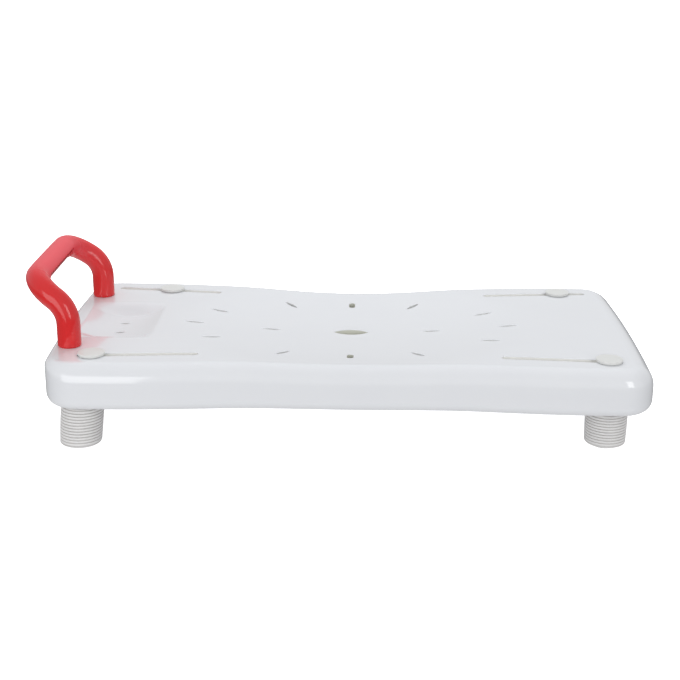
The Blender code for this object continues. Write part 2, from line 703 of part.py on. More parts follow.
def hexagon(across_flats, z):
    """Points round a hexagon: its corners and the middles of its sides."""
    ring = []
    for i in range(NUT_SEGMENTS):
        a = 2 * math.pi * i / NUT_SEGMENTS
        flat = (a + math.pi / 6) % (math.pi / 3) - math.pi / 6
        radius = across_flats / 2 / math.cos(flat)
        ring.append((radius * math.cos(a), radius * math.sin(a), z))
    return ring


def nut_solid():
    """The nut held in the foot, whose thread is left plain."""
    low, high = NUT_LEVEL, NUT_LEVEL + NUT_HEIGHT
    hole = STUD_RADIUS + BORE_GAP
    rings = [circle(hole, low, NUT_SEGMENTS), hexagon(NUT_ACROSS_FLATS, low),
             hexagon(NUT_ACROSS_FLATS, high), circle(hole, high, NUT_SEGMENTS)]
    return loft(rings, ring_shaped=True)


def sleeve_solid():
    """The ribbed rubber sleeve, whose outside leans towards its thick side on the way down."""
    inner = CORE_RADIUS + GAP
    low_edge = FOOT_OFFSET + FOOT_LEAN
    profile = [(inner - SLEEVE_LIP, 0.0, CORE_OFFSET)]
    for k in range(EDGE_STEPS):
        a = math.pi / 2 * k / EDGE_STEPS
        radius = FOOT_BOTTOM_RADIUS - FOOT_EDGE_RADIUS * (1 - math.sin(a))
        profile.append((radius, FOOT_EDGE_RADIUS * (1 - math.cos(a)), low_edge))
    pitch = (FOOT_TOP_Z - FOOT_EDGE_RADIUS - FOOT_BAND) / FOOT_RIBS
    for i in range(2 * FOOT_RIBS + 1):
        z = FOOT_EDGE_RADIUS + i * pitch / 2
        t = z / FOOT_TOP_Z
        depth = FOOT_RIB_DEPTH * (i % 2)
        radius = FOOT_BOTTOM_RADIUS + (FOOT_TOP_RADIUS - FOOT_BOTTOM_RADIUS) * t - depth
        profile.append((radius, z, FOOT_OFFSET + FOOT_LEAN * (1 - t)))
    profile += [(FOOT_TOP_RADIUS, FOOT_TOP_Z, FOOT_OFFSET), (inner, FOOT_TOP_Z, CORE_OFFSET),
                (inner, SLEEVE_LIP_HEIGHT, CORE_OFFSET),
                (inner - SLEEVE_LIP, SLEEVE_LIP_HEIGHT, CORE_OFFSET)]
    rings = [circle(r, z, FOOT_SEGMENTS, x) for r, z, x in profile]
    return loft(rings, ring_shaped=True)


def make_core(name, frame, material):
    """The foot's moulded core, with a bore for the stud and a pocket for the nut."""
    low = SLEEVE_LIP_HEIGHT + GAP
    solid = turned([(CORE_RADIUS, low), (CORE_RADIUS, FOOT_TOP_Z)], FOOT_SEGMENTS, CORE_OFFSET)
    core = add_object(name, new_mesh(name, *solid), frame, material)
    pocket_top = NUT_LEVEL + NUT_HEIGHT + GAP
    pocket = NUT_ACROSS_FLATS + 2 * GAP
    bore = STUD_RADIUS + BORE_GAP
    rings = [hexagon(pocket, -ABOVE), hexagon(pocket, pocket_top), circle(bore, pocket_top, NUT_SEGMENTS),
             circle(bore, FOOT_TOP_Z + ABOVE, NUT_SEGMENTS)]
    boolean(core, add_object(name + "_bore", new_mesh(name + "_bore", *loft(rings)), frame))
    return core


def make_legs(frame, materials):
    """Four legs: each slides along its slot, and its foot turns on the stud to clamp or let go."""
    shapes = button_shapes()
    stud = new_mesh("clamp_stud", *stud_solid())
    washer = new_mesh("thrust_washer", *thrust_washer_solid())
    nut = new_mesh("foot_nut", *nut_solid())
    sleeve = new_mesh("foot_sleeve", *sleeve_solid())
    for name, (side_x, side_y, lock, thick_side) in FEET.items():
        x, y = slot_point(side_x, side_y, SLOT_OUTER_X - lock)
        leg = add_empty("leg_" + name, frame, (x, y, 0.0), slot_turn(side_x, side_y))
        make_button("button_" + name, leg, materials["button"], shapes)
        add_object("stud_" + name, stud, leg, materials["steel"])
        add_object("thrust_washer_" + name, washer, leg, materials["washer"])
        foot = add_empty("foot_" + name, frame, (x, y, 0.0), thick_side)
        make_core("foot_core_" + name, foot, materials["core"])
        add_object("foot_sleeve_" + name, sleeve, foot, materials["rubber"])
        add_object("foot_nut_" + name, nut, foot, materials["steel"])


def main():
    for thing in list(bpy.data.objects):
        bpy.data.objects.remove(thing, do_unlink=True)
    white = new_material("white_polyethylene", (0.86, 0.86, 0.88), 0.25)
    red = new_material("red_polypropylene", (0.62, 0.045, 0.045), 0.28)
    soft_red = new_material("red_soft_plastic", (0.68, 0.10, 0.12), 0.5)
    materials = {
        "button": new_material("ivory_nylon", (0.78, 0.78, 0.72), 0.4),
        "core": new_material("grey_polypropylene", (0.62, 0.62, 0.60), 0.5),
        "rubber": new_material("pale_grey_rubber", (0.62, 0.62, 0.60), 0.7),
        "washer": new_material("white_acetal", (0.80, 0.80, 0.78), 0.35),
        "steel": new_material("stainless_steel", (0.60, 0.60, 0.60), 0.3, 1.0),
    }
    frame = add_empty("bath_board", None, (BOARD_X, 0.0, 0.0))
    make_board(frame, white)
    make_handle(frame, red)
    make_grip(frame, soft_red)
    make_handle_fixings(frame, materials["steel"], materials["rubber"])
    make_vent_plug(frame, materials["core"])
    make_legs(frame, materials)


main()
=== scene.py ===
"""Bath board, dressed for the studio: the moulded seat, its red grab handle, and four ribbed feet.

Metres, +Z up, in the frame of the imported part. Board coordinates are the same axes from the middle of the seat.
"""
import math

import bmesh
import bpy
import numpy as np
from mathutils import Matrix, Vector
from mathutils.geometry import delaunay_2d_cdt


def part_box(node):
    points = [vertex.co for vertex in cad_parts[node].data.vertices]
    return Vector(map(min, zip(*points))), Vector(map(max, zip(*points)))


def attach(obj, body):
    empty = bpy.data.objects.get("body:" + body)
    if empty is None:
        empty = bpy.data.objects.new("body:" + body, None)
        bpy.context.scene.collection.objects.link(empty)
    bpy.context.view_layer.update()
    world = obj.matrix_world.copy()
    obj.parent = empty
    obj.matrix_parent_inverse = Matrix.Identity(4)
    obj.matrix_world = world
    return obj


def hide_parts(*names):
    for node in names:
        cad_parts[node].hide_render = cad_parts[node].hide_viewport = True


# Seat board, seen from above
BOARD_LENGTH = 0.690
BOARD_WIDTH = 0.350
END_BOW = 0.0052
WAIST_DEPTH = 0.0160
WAIST_REACH = 0.288
CORNER_RADIUS = 0.038

# Seat board, in section
BOARD_THICKNESS = 0.054
TOP_EDGE_RADIUS = 0.020
LEFT_TOP_EDGE_RADIUS = 0.009
RIGHT_TOP_EDGE_RADIUS = 0.025
BOTTOM_EDGE_RADIUS = 0.0138
DISH_DEPTH = 0.013
DISH_REACH_X = 0.200
DISH_REACH_Y = 0.181
DISH_BLEND = 0.25
SAG_DEPTH = 0.003
SAG_REACH = 0.150

# Openings in the seat: (length, width) of the shaped ones
CENTRE_DRAIN = (0.042, 0.019)
DRAIN_SLOT = (0.024, 0.0048)
DRAIN_SLOTS = ((0.0977, 0.0), (0.0782, 0.094), (0.1915, 0.0), (0.1655, 0.0522))
OBLONG_DRAIN = (0.0165, 0.0072)
OBLONG_DRAIN_Y = 0.100
DRAIN_LIP = 0.0013
LENS_TAPER = 1.75
SLOT_WIDTH = 0.0095
SLOT_INNER = (0.172, 0.1226)
SLOT_OUTER = (0.306, 0.1349)
SLOT_LIP = 0.0012

# Soap recess: a trough along Y with soft end walls
SOAP_X = -0.2795
SOAP_HALF_X = 0.0445
SOAP_DEPTH = 0.0113
SOAP_BLEND = 0.05
SOAP_WALL_TOP = 0.071
SOAP_WALL_FOOT = 0.044
SOAP_DRAIN = (0.012, 0.0045)
SOAP_DRAIN_Y = 0.0175
SOAP_DRAIN_TURN = math.radians(15)
SOAP_DRAIN_LIP = 0.0008

# Sockets for the handle, with the screw's hole and counterbore below, and the moulding vent
SOCKET_SEAT = 0.0042
SOCKET_LIP = 0.0008
SCREW_HOLE_RADIUS = 0.0032
SCREW_WEB = 0.005
COUNTERBORE_RADIUS = 0.008
COUNTERBORE_DEPTH = 0.008
COUNTERBORE_LIP = 0.0006
VENT_X = 0.142
VENT_RADIUS = 0.0035
VENT_DEPTH = 0.0075
VENT_LIP = 0.0005

# Grab handle, its roll at the deck as (rise, step in)
HANDLE_RADIUS = 0.0135
HANDLE_LEG = (-0.3215, 0.1015)
HANDLE_KNEE_HEIGHT = 0.0438
HANDLE_KNEE_RADIUS = 0.0357
HANDLE_BAR_LEAN = 0.0396
HANDLE_BAR_HEIGHT = 0.0727
HANDLE_BAR_Y = 0.0938
HANDLE_ELBOW_RADIUS = 0.0345
SPIGOT_RADIUS = 0.010
SPIGOT_TIP = 0.0133
SPIGOT_CHAMFER = 0.001
LEG_ROLL = ((0.0, 0.0018), (0.0005, 0.0014), (0.0032, 0.0013), (0.0038, 0.0009), (0.0043, 0.0004), (0.0049, 0.0))
GRIP_LENGTH = 0.120
GRIP_THICKNESS = 0.0014
GRIP_CROWN = 0.0003
GRIP_EDGE_ROLL = 0.0006
GRIP_EDGE_STEP = 0.3
GRIP_TAPER_START = 0.020
GRIP_TAPER_LENGTH = 0.019
GRIP_TAPER_CURVE = 1.5
GRIP_START = math.radians(4)
GRIP_END = math.radians(186)
# Where the bar's rougher skin and its painted pink sheen fade out along Y, and the heights above the deck over which
# they fade in
SATIN_PAINTED_SHEEN_START = 0.054
SATIN_PAINTED_SHEEN_END = 0.108
SATIN_PAINTED_SHEEN_HEIGHT = (0.030, 0.072)

# Feet: side of the board along X and Y, place along the slot, and which way the thick side points
FEET = {
    "front_left": (-1, -1, 0.2903, math.radians(192)),
    "front_right": (1, -1, 0.2915, math.radians(74)),
    "back_left": (-1, 1, 0.2365, math.radians(150)),
    "back_right": (1, 1, 0.2695, math.radians(35)),
}
FOOT_TOP_RADIUS = 0.0243
FOOT_BOTTOM_RADIUS = 0.0236
FOOT_BELLY = 0.0004
FOOT_LEAN = 0.0050
FOOT_LEAN_CURVE = 0.75
FOOT_EDGE_RADIUS = 0.003
FOOT_EDGE_REACH = 0.0042
FOOT_TOP_CHAMFER = 0.0005
FOOT_OFFSET = 0.0118
FOOT_RIBS = 12
FOOT_RIB_DEPTH = 0.0016
# Share of the ribs' depth at the bottom, and how fast it grows with height
FOOT_RIB_FADE = (0.45, 1.8)
FOOT_RIB_CURVE = 2.2
FOOT_BAND = 0.0025
# Where the painted shade in a groove starts and ends to fade, in shares of the pitch
GROOVE_SHADE_FADE = (0.08, 0.26)
CORE_RADIUS = 0.0143
CORE_OFFSET = 0.0083
CORE_LIP = 0.0012
CORE_START = 0.0025
BUTTON_RADIUS = 0.01525
BUTTON_RIM = 0.0030
BUTTON_CROWN = 0.0006
BUTTON_UNDERCUT = 0.0005
BUTTON_UNDERCUT_HEIGHTS = (0.0005, 0.0009)
BUTTON_EDGE_RADIUS = 0.0004
DOME_REACH = 0.96
DOME_SPACING = 1.3
DOME_CURVE = 0.9
NECK_LENGTH = 0.015
NECK_DEPTH = 0.025
NECK_OVERLAP = 0.001
GAP = 0.0003

# Size of the slow drift in every moulded colour, in millimetres
DRIFT_MM = 60.0

# Fineness of the meshes
OUTLINE_STEPS = (12, 16, 48)
EDGE_STEPS = 10
LIP_STEPS = 4
LIP_WHITE_BANDS = 3
CENTRE_DRAIN_COUNT = 64
OBLONG_DRAIN_COUNT = 12
DRAIN_SLOT_COUNT = 40
SLOT_COUNT = 14
SOAP_DRAIN_COUNT = 32
NECK_COUNT = 12
SLOT_POINT_STEP = 0.004
DECK_STEP, DECK_ROOM = 0.0055, 0.0022
SOAP_STEP = 0.0026
SOAP_FINE_HALF = (0.050, 0.076)
UNDERSIDE_STEP, UNDERSIDE_ROOM = 0.0085, 0.004
SOCKET_COUNT = 48
VENT_COUNT = 24
BEND_STEPS = 30
STRAIGHT_STEP = 0.006
BAR_COUNT = 72
GRIP_ARC_STEPS = 48
GRIP_RING_COUNT = 19
GRIP_END_STEP = 0.006
BUTTON_COUNT = 64
DOME_STEPS = 8
CORNER_STEPS = 4
CORNER_SHARE = 0.45
RIB_STEPS = 10
FOOT_EDGE_STEPS = 6
SLEEVE_COUNT = 72
SLOPE_STEP = 0.0005
TILT_STEP = 0.001
TILT_ROUNDS = 4
HAIR = 1e-5
MERGE_DISTANCE = 1e-7
SHARP_ANGLE = math.radians(50)
SLEEVE_SHARP_ANGLE = math.radians(60)

# Studio: strengths of its glows, and the heights of a direction between which the room's glow changes
FLOOR_HALF = 300.0
ROOM_GLOW = 0.665
LOW_ROOM_GLOW = 0.24
UNDER_GLOW = 0.80
FLOOR_GLOW = 0.80
BACKDROP_GLOW = 1.06
UNDER_HEIGHTS = (-0.68, -0.34)
HORIZON_HEIGHTS = (-0.12, 0.05)
OVERHEAD_PLACE = (1.5, 1.65)
OVERHEAD_SIZE = (1.8, 1.2)
OVERHEAD_COLOUR = (0.965, 0.985, 1.0)
OVERHEAD_POWER = 23.0
# Side softboxes: board x that each aims at, azimuth and elevation it comes from, distance, size and power
SIDE_BOX_AIM = (-0.17, -0.015)
SIDE_BOXES = {
    "left_softbox": (-0.25, (-25, 9.5), 1.6, (1.26, 1.2), 10.0),
    "right_softbox": (0.306, (30, 20), 1.8, (0.65, 1.15), 8.2),
}

# Camera: its lens in pixels of a picture as wide as the photograph, its place from the middle of the deck
PICTURE_WIDTH = 680
FOCAL_LENGTH = 1283.0
SIDE_SHIFT = -21.9
SENSOR_WIDTH = 36.0
CAMERA_PLACE = (0.0133, -1.4931, 0.4775)
CAMERA_PITCH = 0.3236
CAMERA_ROLL = 0.0130
CAMERA_CLIP = (0.05, 200)

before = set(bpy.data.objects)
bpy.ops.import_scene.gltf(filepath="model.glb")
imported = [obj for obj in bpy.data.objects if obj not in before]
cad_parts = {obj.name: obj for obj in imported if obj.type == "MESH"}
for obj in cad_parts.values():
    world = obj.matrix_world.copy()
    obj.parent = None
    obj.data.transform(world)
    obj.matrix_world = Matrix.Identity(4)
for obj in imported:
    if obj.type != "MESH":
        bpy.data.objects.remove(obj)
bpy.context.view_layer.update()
BOARD_X = (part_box("board")[0].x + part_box("board")[1].x) / 2
UNDERSIDE_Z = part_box("thrust_washer_front_left")[1].z + GAP
DECK_Z = UNDERSIDE_Z + BOARD_THICKNESS
FOOT_TOP_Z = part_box("foot_sleeve_front_left")[1].z
RIB_PITCH = (FOOT_TOP_Z - FOOT_EDGE_RADIUS - FOOT_BAND) / FOOT_RIBS
SLOT_ANGLE = math.atan2(SLOT_OUTER[1] - SLOT_INNER[1], SLOT_OUTER[0] - SLOT_INNER[0])


# ---- Materials ------------------------------------------------------------


def linear(code):
    """An sRGB hex colour as the linear colour that shaders use."""
    channels = [int(code[i:i + 2], 16) / 255 for i in (1, 3, 5)]
    return (*(c / 12.92 if c <= 0.04045 else ((c + 0.055) / 1.055) ** 2.4 for c in channels), 1.0)


def add_node(tree, kind, links=None, **settings):
    """A shader node with its settings and input values, and the sockets that feed it."""
    node = tree.nodes.new(kind)
    for key, value in settings.items():
        if key.startswith("in_"):
            node.inputs[key[3:].replace("_", " ")].default_value = value
        else:
            setattr(node, key, value)
    for name, socket in (links or {}).items():
        tree.links.new(socket, node.inputs[name])
    return node


def blended(tree, kind, factor, start, end):
    """A socket that goes from start to end, each a socket or a fixed value, as the factor rises."""
    first, result = {"RGBA": (6, 2), "FLOAT": (2, 0)}[kind]
    node = add_node(tree, "ShaderNodeMix", {"Factor": factor}, data_type=kind)
    for socket, value in ((node.inputs[first], start), (node.inputs[first + 1], end)):
        if isinstance(value, bpy.types.NodeSocket):
            tree.links.new(value, socket)
        else:
            socket.default_value = value
    return node.outputs[result]


def calculated(tree, operation, socket, number=None):
    """A maths node's result from a socket, and a number where it takes one."""
    node = add_node(tree, "ShaderNodeMath", operation=operation)
    tree.links.new(socket, node.inputs[0])
    if number is not None:
        node.inputs[1].default_value = number
    return node.outputs[0]


def per_mm(size):
    """A texture scale whose pattern repeats about every size in millimetres."""
    return 1000.0 / size


def satin_painted_sheen_share(tree, spot):
    """1 on the handle's bar near the middle of Y, fading to 0 down its elbows: the share of rougher skin and painted
    pink sheen.
    """
    axes = add_node(tree, "ShaderNodeSeparateXYZ", {"Vector": spot}).outputs
    height = add_node(tree, "ShaderNodeMapRange", {"Value": axes["Z"]}, interpolation_type="SMOOTHSTEP",
                      in_From_Min=DECK_Z + SATIN_PAINTED_SHEEN_HEIGHT[0], in_From_Max=DECK_Z + SATIN_PAINTED_SHEEN_HEIGHT[1])
    reach = calculated(tree, "ABSOLUTE", axes["Y"])
    share = add_node(tree, "ShaderNodeMapRange", {"Value": reach, "To Min": height.outputs["Result"]},
                     interpolation_type="SMOOTHSTEP", in_From_Min=SATIN_PAINTED_SHEEN_START, in_From_Max=SATIN_PAINTED_SHEEN_END,
                     in_To_Max=0.0)
    return share.outputs["Result"]


def groove_shade_share(tree, spot):
    """1 in the grooves between the ribs of a foot, 0 on the ribs: where the painted shade goes."""
    z = add_node(tree, "ShaderNodeSeparateXYZ", {"Vector": spot}).outputs["Z"]
    rise = calculated(tree, "SUBTRACT", z, FOOT_EDGE_RADIUS)
    wave = calculated(tree, "PINGPONG", rise, RIB_PITCH / 2)
    share = add_node(tree, "ShaderNodeMapRange", {"Value": wave}, interpolation_type="SMOOTHSTEP",
                     in_From_Min=RIB_PITCH * GROOVE_SHADE_FADE[0], in_From_Max=RIB_PITCH * GROOVE_SHADE_FADE[1],
                     in_To_Min=1.0, in_To_Max=0.0)
    return share.outputs["Result"]


def moulded(name, colour, shade, roughness, bump, grain_mm, satin_painted_sheen=None, groove=None, **shader_settings):
    """A moulded plastic: a slow drift of colour, a fine skin texture, and the mould's polish in its roughness.

    With satin_painted_sheen, a (colour, roughness), it turns into that on the handle's bar: a rougher skin, and a
    paler pink that is painted sheen. With groove, a colour, it takes that between the ribs of a foot as painted
    shade."""
    material = bpy.data.materials.new(name)
    material.use_nodes = True
    tree = material.node_tree
    shader = tree.nodes["Principled BSDF"]
    spot = add_node(tree, "ShaderNodeTexCoord").outputs["Object"]
    drift = add_node(tree, "ShaderNodeTexNoise", {"Vector": spot}, in_Scale=per_mm(DRIFT_MM), in_Detail=3.0)
    hue = blended(tree, "RGBA", drift.outputs["Fac"], linear(colour), linear(shade))
    skin = add_node(tree, "ShaderNodeTexNoise", {"Vector": spot}, in_Scale=per_mm(grain_mm), in_Detail=4.0)
    polish = add_node(tree, "ShaderNodeMapRange", {"Value": skin.outputs["Fac"]},
                      in_To_Min=roughness[0], in_To_Max=roughness[1])
    shine = polish.outputs["Result"]
    # On the handle's bar: a rougher skin, and a paler pink that is painted sheen
    if satin_painted_sheen:
        share = satin_painted_sheen_share(tree, spot)
        hue = blended(tree, "RGBA", share, hue, linear(satin_painted_sheen[0]))
        shine = blended(tree, "FLOAT", share, shine, satin_painted_sheen[1])
    # Painted shade in the grooves between a foot's ribs
    if groove:
        hue = blended(tree, "RGBA", groove_shade_share(tree, spot), hue, linear(groove))
    relief = add_node(tree, "ShaderNodeBump", {"Height": skin.outputs["Fac"]}, in_Strength=bump[0],
                      in_Distance=bump[1])
    tree.links.new(hue, shader.inputs["Base Color"])
    tree.links.new(shine, shader.inputs["Roughness"])
    tree.links.new(relief.outputs["Normal"], shader.inputs["Normal"])
    for key, value in shader_settings.items():
        shader.inputs[key.replace("_", " ")].default_value = value
    return material


SEAT_SKIN = {"bump": (0.02, 0.0002), "grain_mm": 9.0}
RED_SKIN = {"bump": (0.02, 0.0001), "grain_mm": 5.0}
BRIGHT_RED = ("#DA2A2B", "#D4282A", (0.10, 0.14))
# The handle bar's rougher skin, and its paler pink that is painted sheen
PINK_SATIN_PAINTED_SHEEN = ("#EB4D57", 0.42)

# Blow-moulded white polyethylene: waxy gloss, a trace of orange peel, light that sinks in a little
white_polyethylene = moulded("blow_moulded_white_polyethylene", "#E8EAED", "#E5E7EB", (0.08, 0.11), **SEAT_SKIN,
                             IOR=1.53, Coat_Weight=0.35, Coat_Roughness=0.03)
# The thin wall of an adjustment slot: a faint painted glow, standing in for light from the hollow behind it, keeps
# the slot pale
glowing_slot_polyethylene = moulded("thin_white_polyethylene_wall", "#E9E9E6", "#E5E5E2", (0.30, 0.36), **SEAT_SKIN,
                            Emission_Color=linear("#F4F4F0"), Emission_Strength=0.03)
# Painted shade on the walls of the seat's three middle drains: a duller, warmer, darker white that reads as an olive
# shade
drain_shade_polyethylene = moulded("pinched_white_polyethylene", "#D5D6CC", "#D0D1C6", (0.35, 0.45), **SEAT_SKIN)
# The small drains' walls: painted shade, a plain pale grey a little darker than the seat's white
shaded_polyethylene = moulded("shaded_white_polyethylene", "#DCDDDC", "#D7D8D7", (0.35, 0.45), **SEAT_SKIN)
# Injection-moulded red polypropylene: a deep even red under a clear shine; where the hand holds it, a rougher skin
# with a paler pink that is painted sheen, fading down its elbows
red_polypropylene_painted_sheen = moulded("moulded_red_polypropylene_painted_sheen", *BRIGHT_RED, **RED_SKIN, satin_painted_sheen=PINK_SATIN_PAINTED_SHEEN, IOR=1.49)
# The bar under its grip: the same plastic in a deeper red that is painted shade, which draws a dark line along the
# grip's edge
painted_shade_red = moulded("painted_shade_red_under_grip", "#B02022", "#A61E20", (0.25, 0.30), **RED_SKIN,
                                 IOR=1.49)
# Overmoulded soft red plastic: the same red, spark-eroded to a rougher skin, with a paler pink that is painted sheen
soft_red_plastic_painted_sheen = moulded("satin_red_soft_plastic_painted_sheen", *BRIGHT_RED, **RED_SKIN, satin_painted_sheen=PINK_SATIN_PAINTED_SHEEN, IOR=1.49)
# Moulded ivory nylon: warmer and duller than the seat
ivory_nylon = moulded("moulded_ivory_nylon", "#DEDFDD", "#D9DAD7", (0.35, 0.42), (0.08, 0.0002), 3.0)
# Thermoplastic rubber, pale grey: matt, with painted shade darkening the grooves between the ribs
pale_rubber_groove_shade = moulded("moulded_pale_grey_rubber_painted_groove_shade", "#E8E7E7", "#E1E0DF", (0.55, 0.65), (0.04, 0.0001), 2.0,
                      groove="#C6C4C2")
# Moulded grey polypropylene of the feet's cores: plain and half matt
grey_polypropylene = moulded("moulded_grey_polypropylene", "#CFCFCC", "#C6C6C3", (0.40, 0.50), (0.10, 0.0002), 3.0)
# Turned white acetal: smooth and slightly waxy
white_acetal = moulded("turned_white_acetal", "#E8E8E4", "#E2E2DE", (0.28, 0.34), (0.05, 0.0001), 2.0)
# Bright stainless steel: a metal with fine turning marks in its shine
stainless_steel = moulded("bright_stainless_steel", "#C9C9CB", "#BDBDC0", (0.22, 0.34), (0.10, 0.0001), 0.8,
                          Metallic=1.0)

# Places of the seat's wall materials after its white: the slots' painted glow, the middle drains' warm painted
# shade, the small drains' plain painted shade
GLOWING_WALL, WARM_SHADED_WALL, SHADED_WALL = 1, 2, 3


# ---- Meshes ---------------------------------------------------------------


def neighbours(count):
    """Each number below count with the next, the last with the first."""
    return [(i, (i + 1) % count) for i in range(count)]


def surface_normal(height, x, y):
    """The upward normal of a surface that is given by its height."""
    slope_x = (height(x + SLOPE_STEP, y) - height(x - SLOPE_STEP, y)) / (2 * SLOPE_STEP)
    slope_y = (height(x, y + SLOPE_STEP) - height(x, y - SLOPE_STEP)) / (2 * SLOPE_STEP)
    return Vector((-slope_x, -slope_y, 1.0)).normalized()


class Skin:
    """Points and faces of one piece while it is put together."""

    def __init__(self):
        self.points = []
        self.faces = []
        self.normals = {}

    def ring(self, ring_points):
        """Adds a closed ring of points and gives their numbers."""
        start = len(self.points)
        self.points.extend(tuple(p) for p in ring_points)
        return list(range(start, len(self.points)))

    def chain(self, rings):
        """Adds rings of equal count and joins them in turn by bands of faces. Gives the rings' numbers."""
        numbered = [self.ring(r) for r in rings]
        for one, two in zip(numbered, numbered[1:]):
            self.bridge(one, two)
        return numbered

    def bridge(self, one, two):
        """Joins two rings of equal count by a band of faces."""
        for i, j in neighbours(len(one)):
            self.faces.append((one[i], one[j], two[j], two[i]))

    def cap(self, ring):
        """Closes a ring with a fan round its middle."""
        middle = sum((Vector(self.points[i]) for i in ring), Vector()) / len(ring)
        self.points.append(tuple(middle))
        tip = len(self.points) - 1
        for i, j in neighbours(len(ring)):
            self.faces.append((ring[i], ring[j], tip))

    def solid(self, rings):
        """A chain of rings, closed at both ends."""
        numbered = self.chain(rings)
        self.cap(numbered[0])
        self.cap(numbered[-1])

    def add(self, other):
        """Takes in another skin's points and faces."""
        base = len(self.points)
        self.points += other.points
        self.faces += [tuple(base + i for i in face) for face in other.faces]

    def patch(self, outer, holes, inner_points, height, up):
        """Fills a ring, less some holes, with triangles through extra points at the given height, shaded true to
        the surface; up is 1 on top and -1 underneath."""
        used = list(outer) + [i for hole in holes for i in hole]
        flat = [Vector(self.points[i][:2]) for i in used]
        edges, start = [], 0
        for loop in [outer, *holes]:
            edges += [(start + i, start + j) for i, j in neighbours(len(loop))]
            start += len(loop)
        flat += [Vector(p) for p in inner_points]
        verts, _, triangles, origins, _, _ = delaunay_2d_cdt(flat, edges, [], 0, MERGE_DISTANCE)
        numbers = []
        for vert, origin in zip(verts, origins):
            if origin and origin[0] < len(used):
                numbers.append(used[origin[0]])
            else:
                self.points.append((vert.x, vert.y, height(vert.x, vert.y)))
                numbers.append(len(self.points) - 1)
        for i in numbers:
            self.normals[i] = surface_normal(height, *self.points[i][:2]) * up
        hole_of = {i: k for k, hole in enumerate(holes) for i in hole}
        edge_points = set(outer)
        border = [self.points[i][:2] for i in outer]
        for triangle in triangles:
            face = tuple(numbers[i] for i in triangle)
            owners = {hole_of.get(i) for i in face}
            if len(owners) == 1 and None not in owners:
                continue
            if edge_points.issuperset(face):
                x, y = (sum(self.points[i][k] for i in face) / 3 for k in (0, 1))
                if not inside(border, np.array([[x, y]]))[0]:
                    continue
            self.faces.append(face)

    def mesh(self, name, sharp=None):
        """The finished mesh, its faces outwards, smooth all over but for edges sharper than an angle, if any."""
        data = bpy.data.meshes.new(name)
        data.from_pydata(self.points, [], self.faces)
        work = bmesh.new()
        work.from_mesh(data)
        bmesh.ops.recalc_face_normals(work, faces=work.faces)
        work.to_mesh(data)
        work.free()
        data.shade_smooth()
        if self.normals:
            normals = [self.normals.get(i, vert.normal) for i, vert in enumerate(data.vertices)]
            data.normals_split_custom_set_from_vertices(normals)
        if sharp:
            data.set_sharp_from_angle(angle=sharp)
        return data


def inside(border, spots):
    """Which of the spots lie inside a closed border."""
    x, y = spots[:, 0], spots[:, 1]
    result = np.zeros(len(spots), bool)
    for (x1, y1), (x2, y2) in zip(border, border[1:] + border[:1]):
        crosses = (y1 > y) != (y2 > y)
        with np.errstate(divide="ignore", invalid="ignore"):
            at = (x2 - x1) * (y - y1) / (y2 - y1) + x1
        result ^= crosses & (x < at)
    return result


def place(name, data, body, node, material):
    """Puts a finished piece on its body in place of its CAD node."""
    thing = bpy.data.objects.new(name, data)
    bpy.context.scene.collection.objects.link(thing)
    data.materials.append(material)
    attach(thing, body)
    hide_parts(node)


def stand(data, x, y, turn):
    """Turns a mesh about +Z and moves it to its place on the floor plan."""
    data.transform(Matrix.Translation((x, y, 0)) @ Matrix.Rotation(turn, 4, "Z"))


def circle(radius, z, count, x=0.0, y=0.0):
    """Points round a level circle."""
    return [(x + radius * math.cos(2 * math.pi * i / count), y + radius * math.sin(2 * math.pi * i / count), z)
            for i in range(count)]


# ---- Seat board -----------------------------------------------------------


def deck_height(x, y):
    """The seat without its soap recess, in board coordinates."""
    room = 1 - (x / DISH_REACH_X) ** 2 - (y / DISH_REACH_Y) ** 2
    dish = (room + math.sqrt(room * room + DISH_BLEND ** 2)) / 2
    return DECK_Z - DISH_DEPTH * min(1.0, dish)


def soap_drop(x, y):
    """How far the soap recess lies below the seat: a round-bottomed trough with soft end walls."""
    if abs(x - SOAP_X) >= 2 * SOAP_HALF_X:
        return 0.0
    across = 1 - ((x - SOAP_X) / SOAP_HALF_X) ** 2
    trough = (across + math.sqrt(across * across + SOAP_BLEND ** 2)) / 2
    t = (SOAP_WALL_TOP - abs(y)) / (SOAP_WALL_TOP - SOAP_WALL_FOOT)
    t = min(1.0, max(0.0, t))
    return SOAP_DEPTH * trough * t * t * (3 - 2 * t)


def seat_height(x, y):
    """The whole upper surface, from world coordinates."""
    return deck_height(x - BOARD_X, y) - soap_drop(x - BOARD_X, y)


def underside_height(x, _=0.0):
    """The underside, flat under the feet and a little lower in the middle, from world coordinates."""
    x -= BOARD_X
    if abs(x) >= SAG_REACH:
        return UNDERSIDE_Z
    return UNDERSIDE_Z - SAG_DEPTH * math.cos(math.pi * x / (2 * SAG_REACH)) ** 2


def side_edge(x):
    """Half the seat's width at board x."""
    if abs(x) >= WAIST_REACH:
        return BOARD_WIDTH / 2
    return BOARD_WIDTH / 2 - WAIST_DEPTH * math.cos(math.pi * x / (2 * WAIST_REACH)) ** 2


def top_edge_radius(nx, ny):
    """The rolled edge's radius by its outward direction: tight at the handle's end, fuller at the other."""
    end = LEFT_TOP_EDGE_RADIUS if nx < 0 else RIGHT_TOP_EDGE_RADIUS
    return end * nx * nx + TOP_EDGE_RADIUS * ny * ny


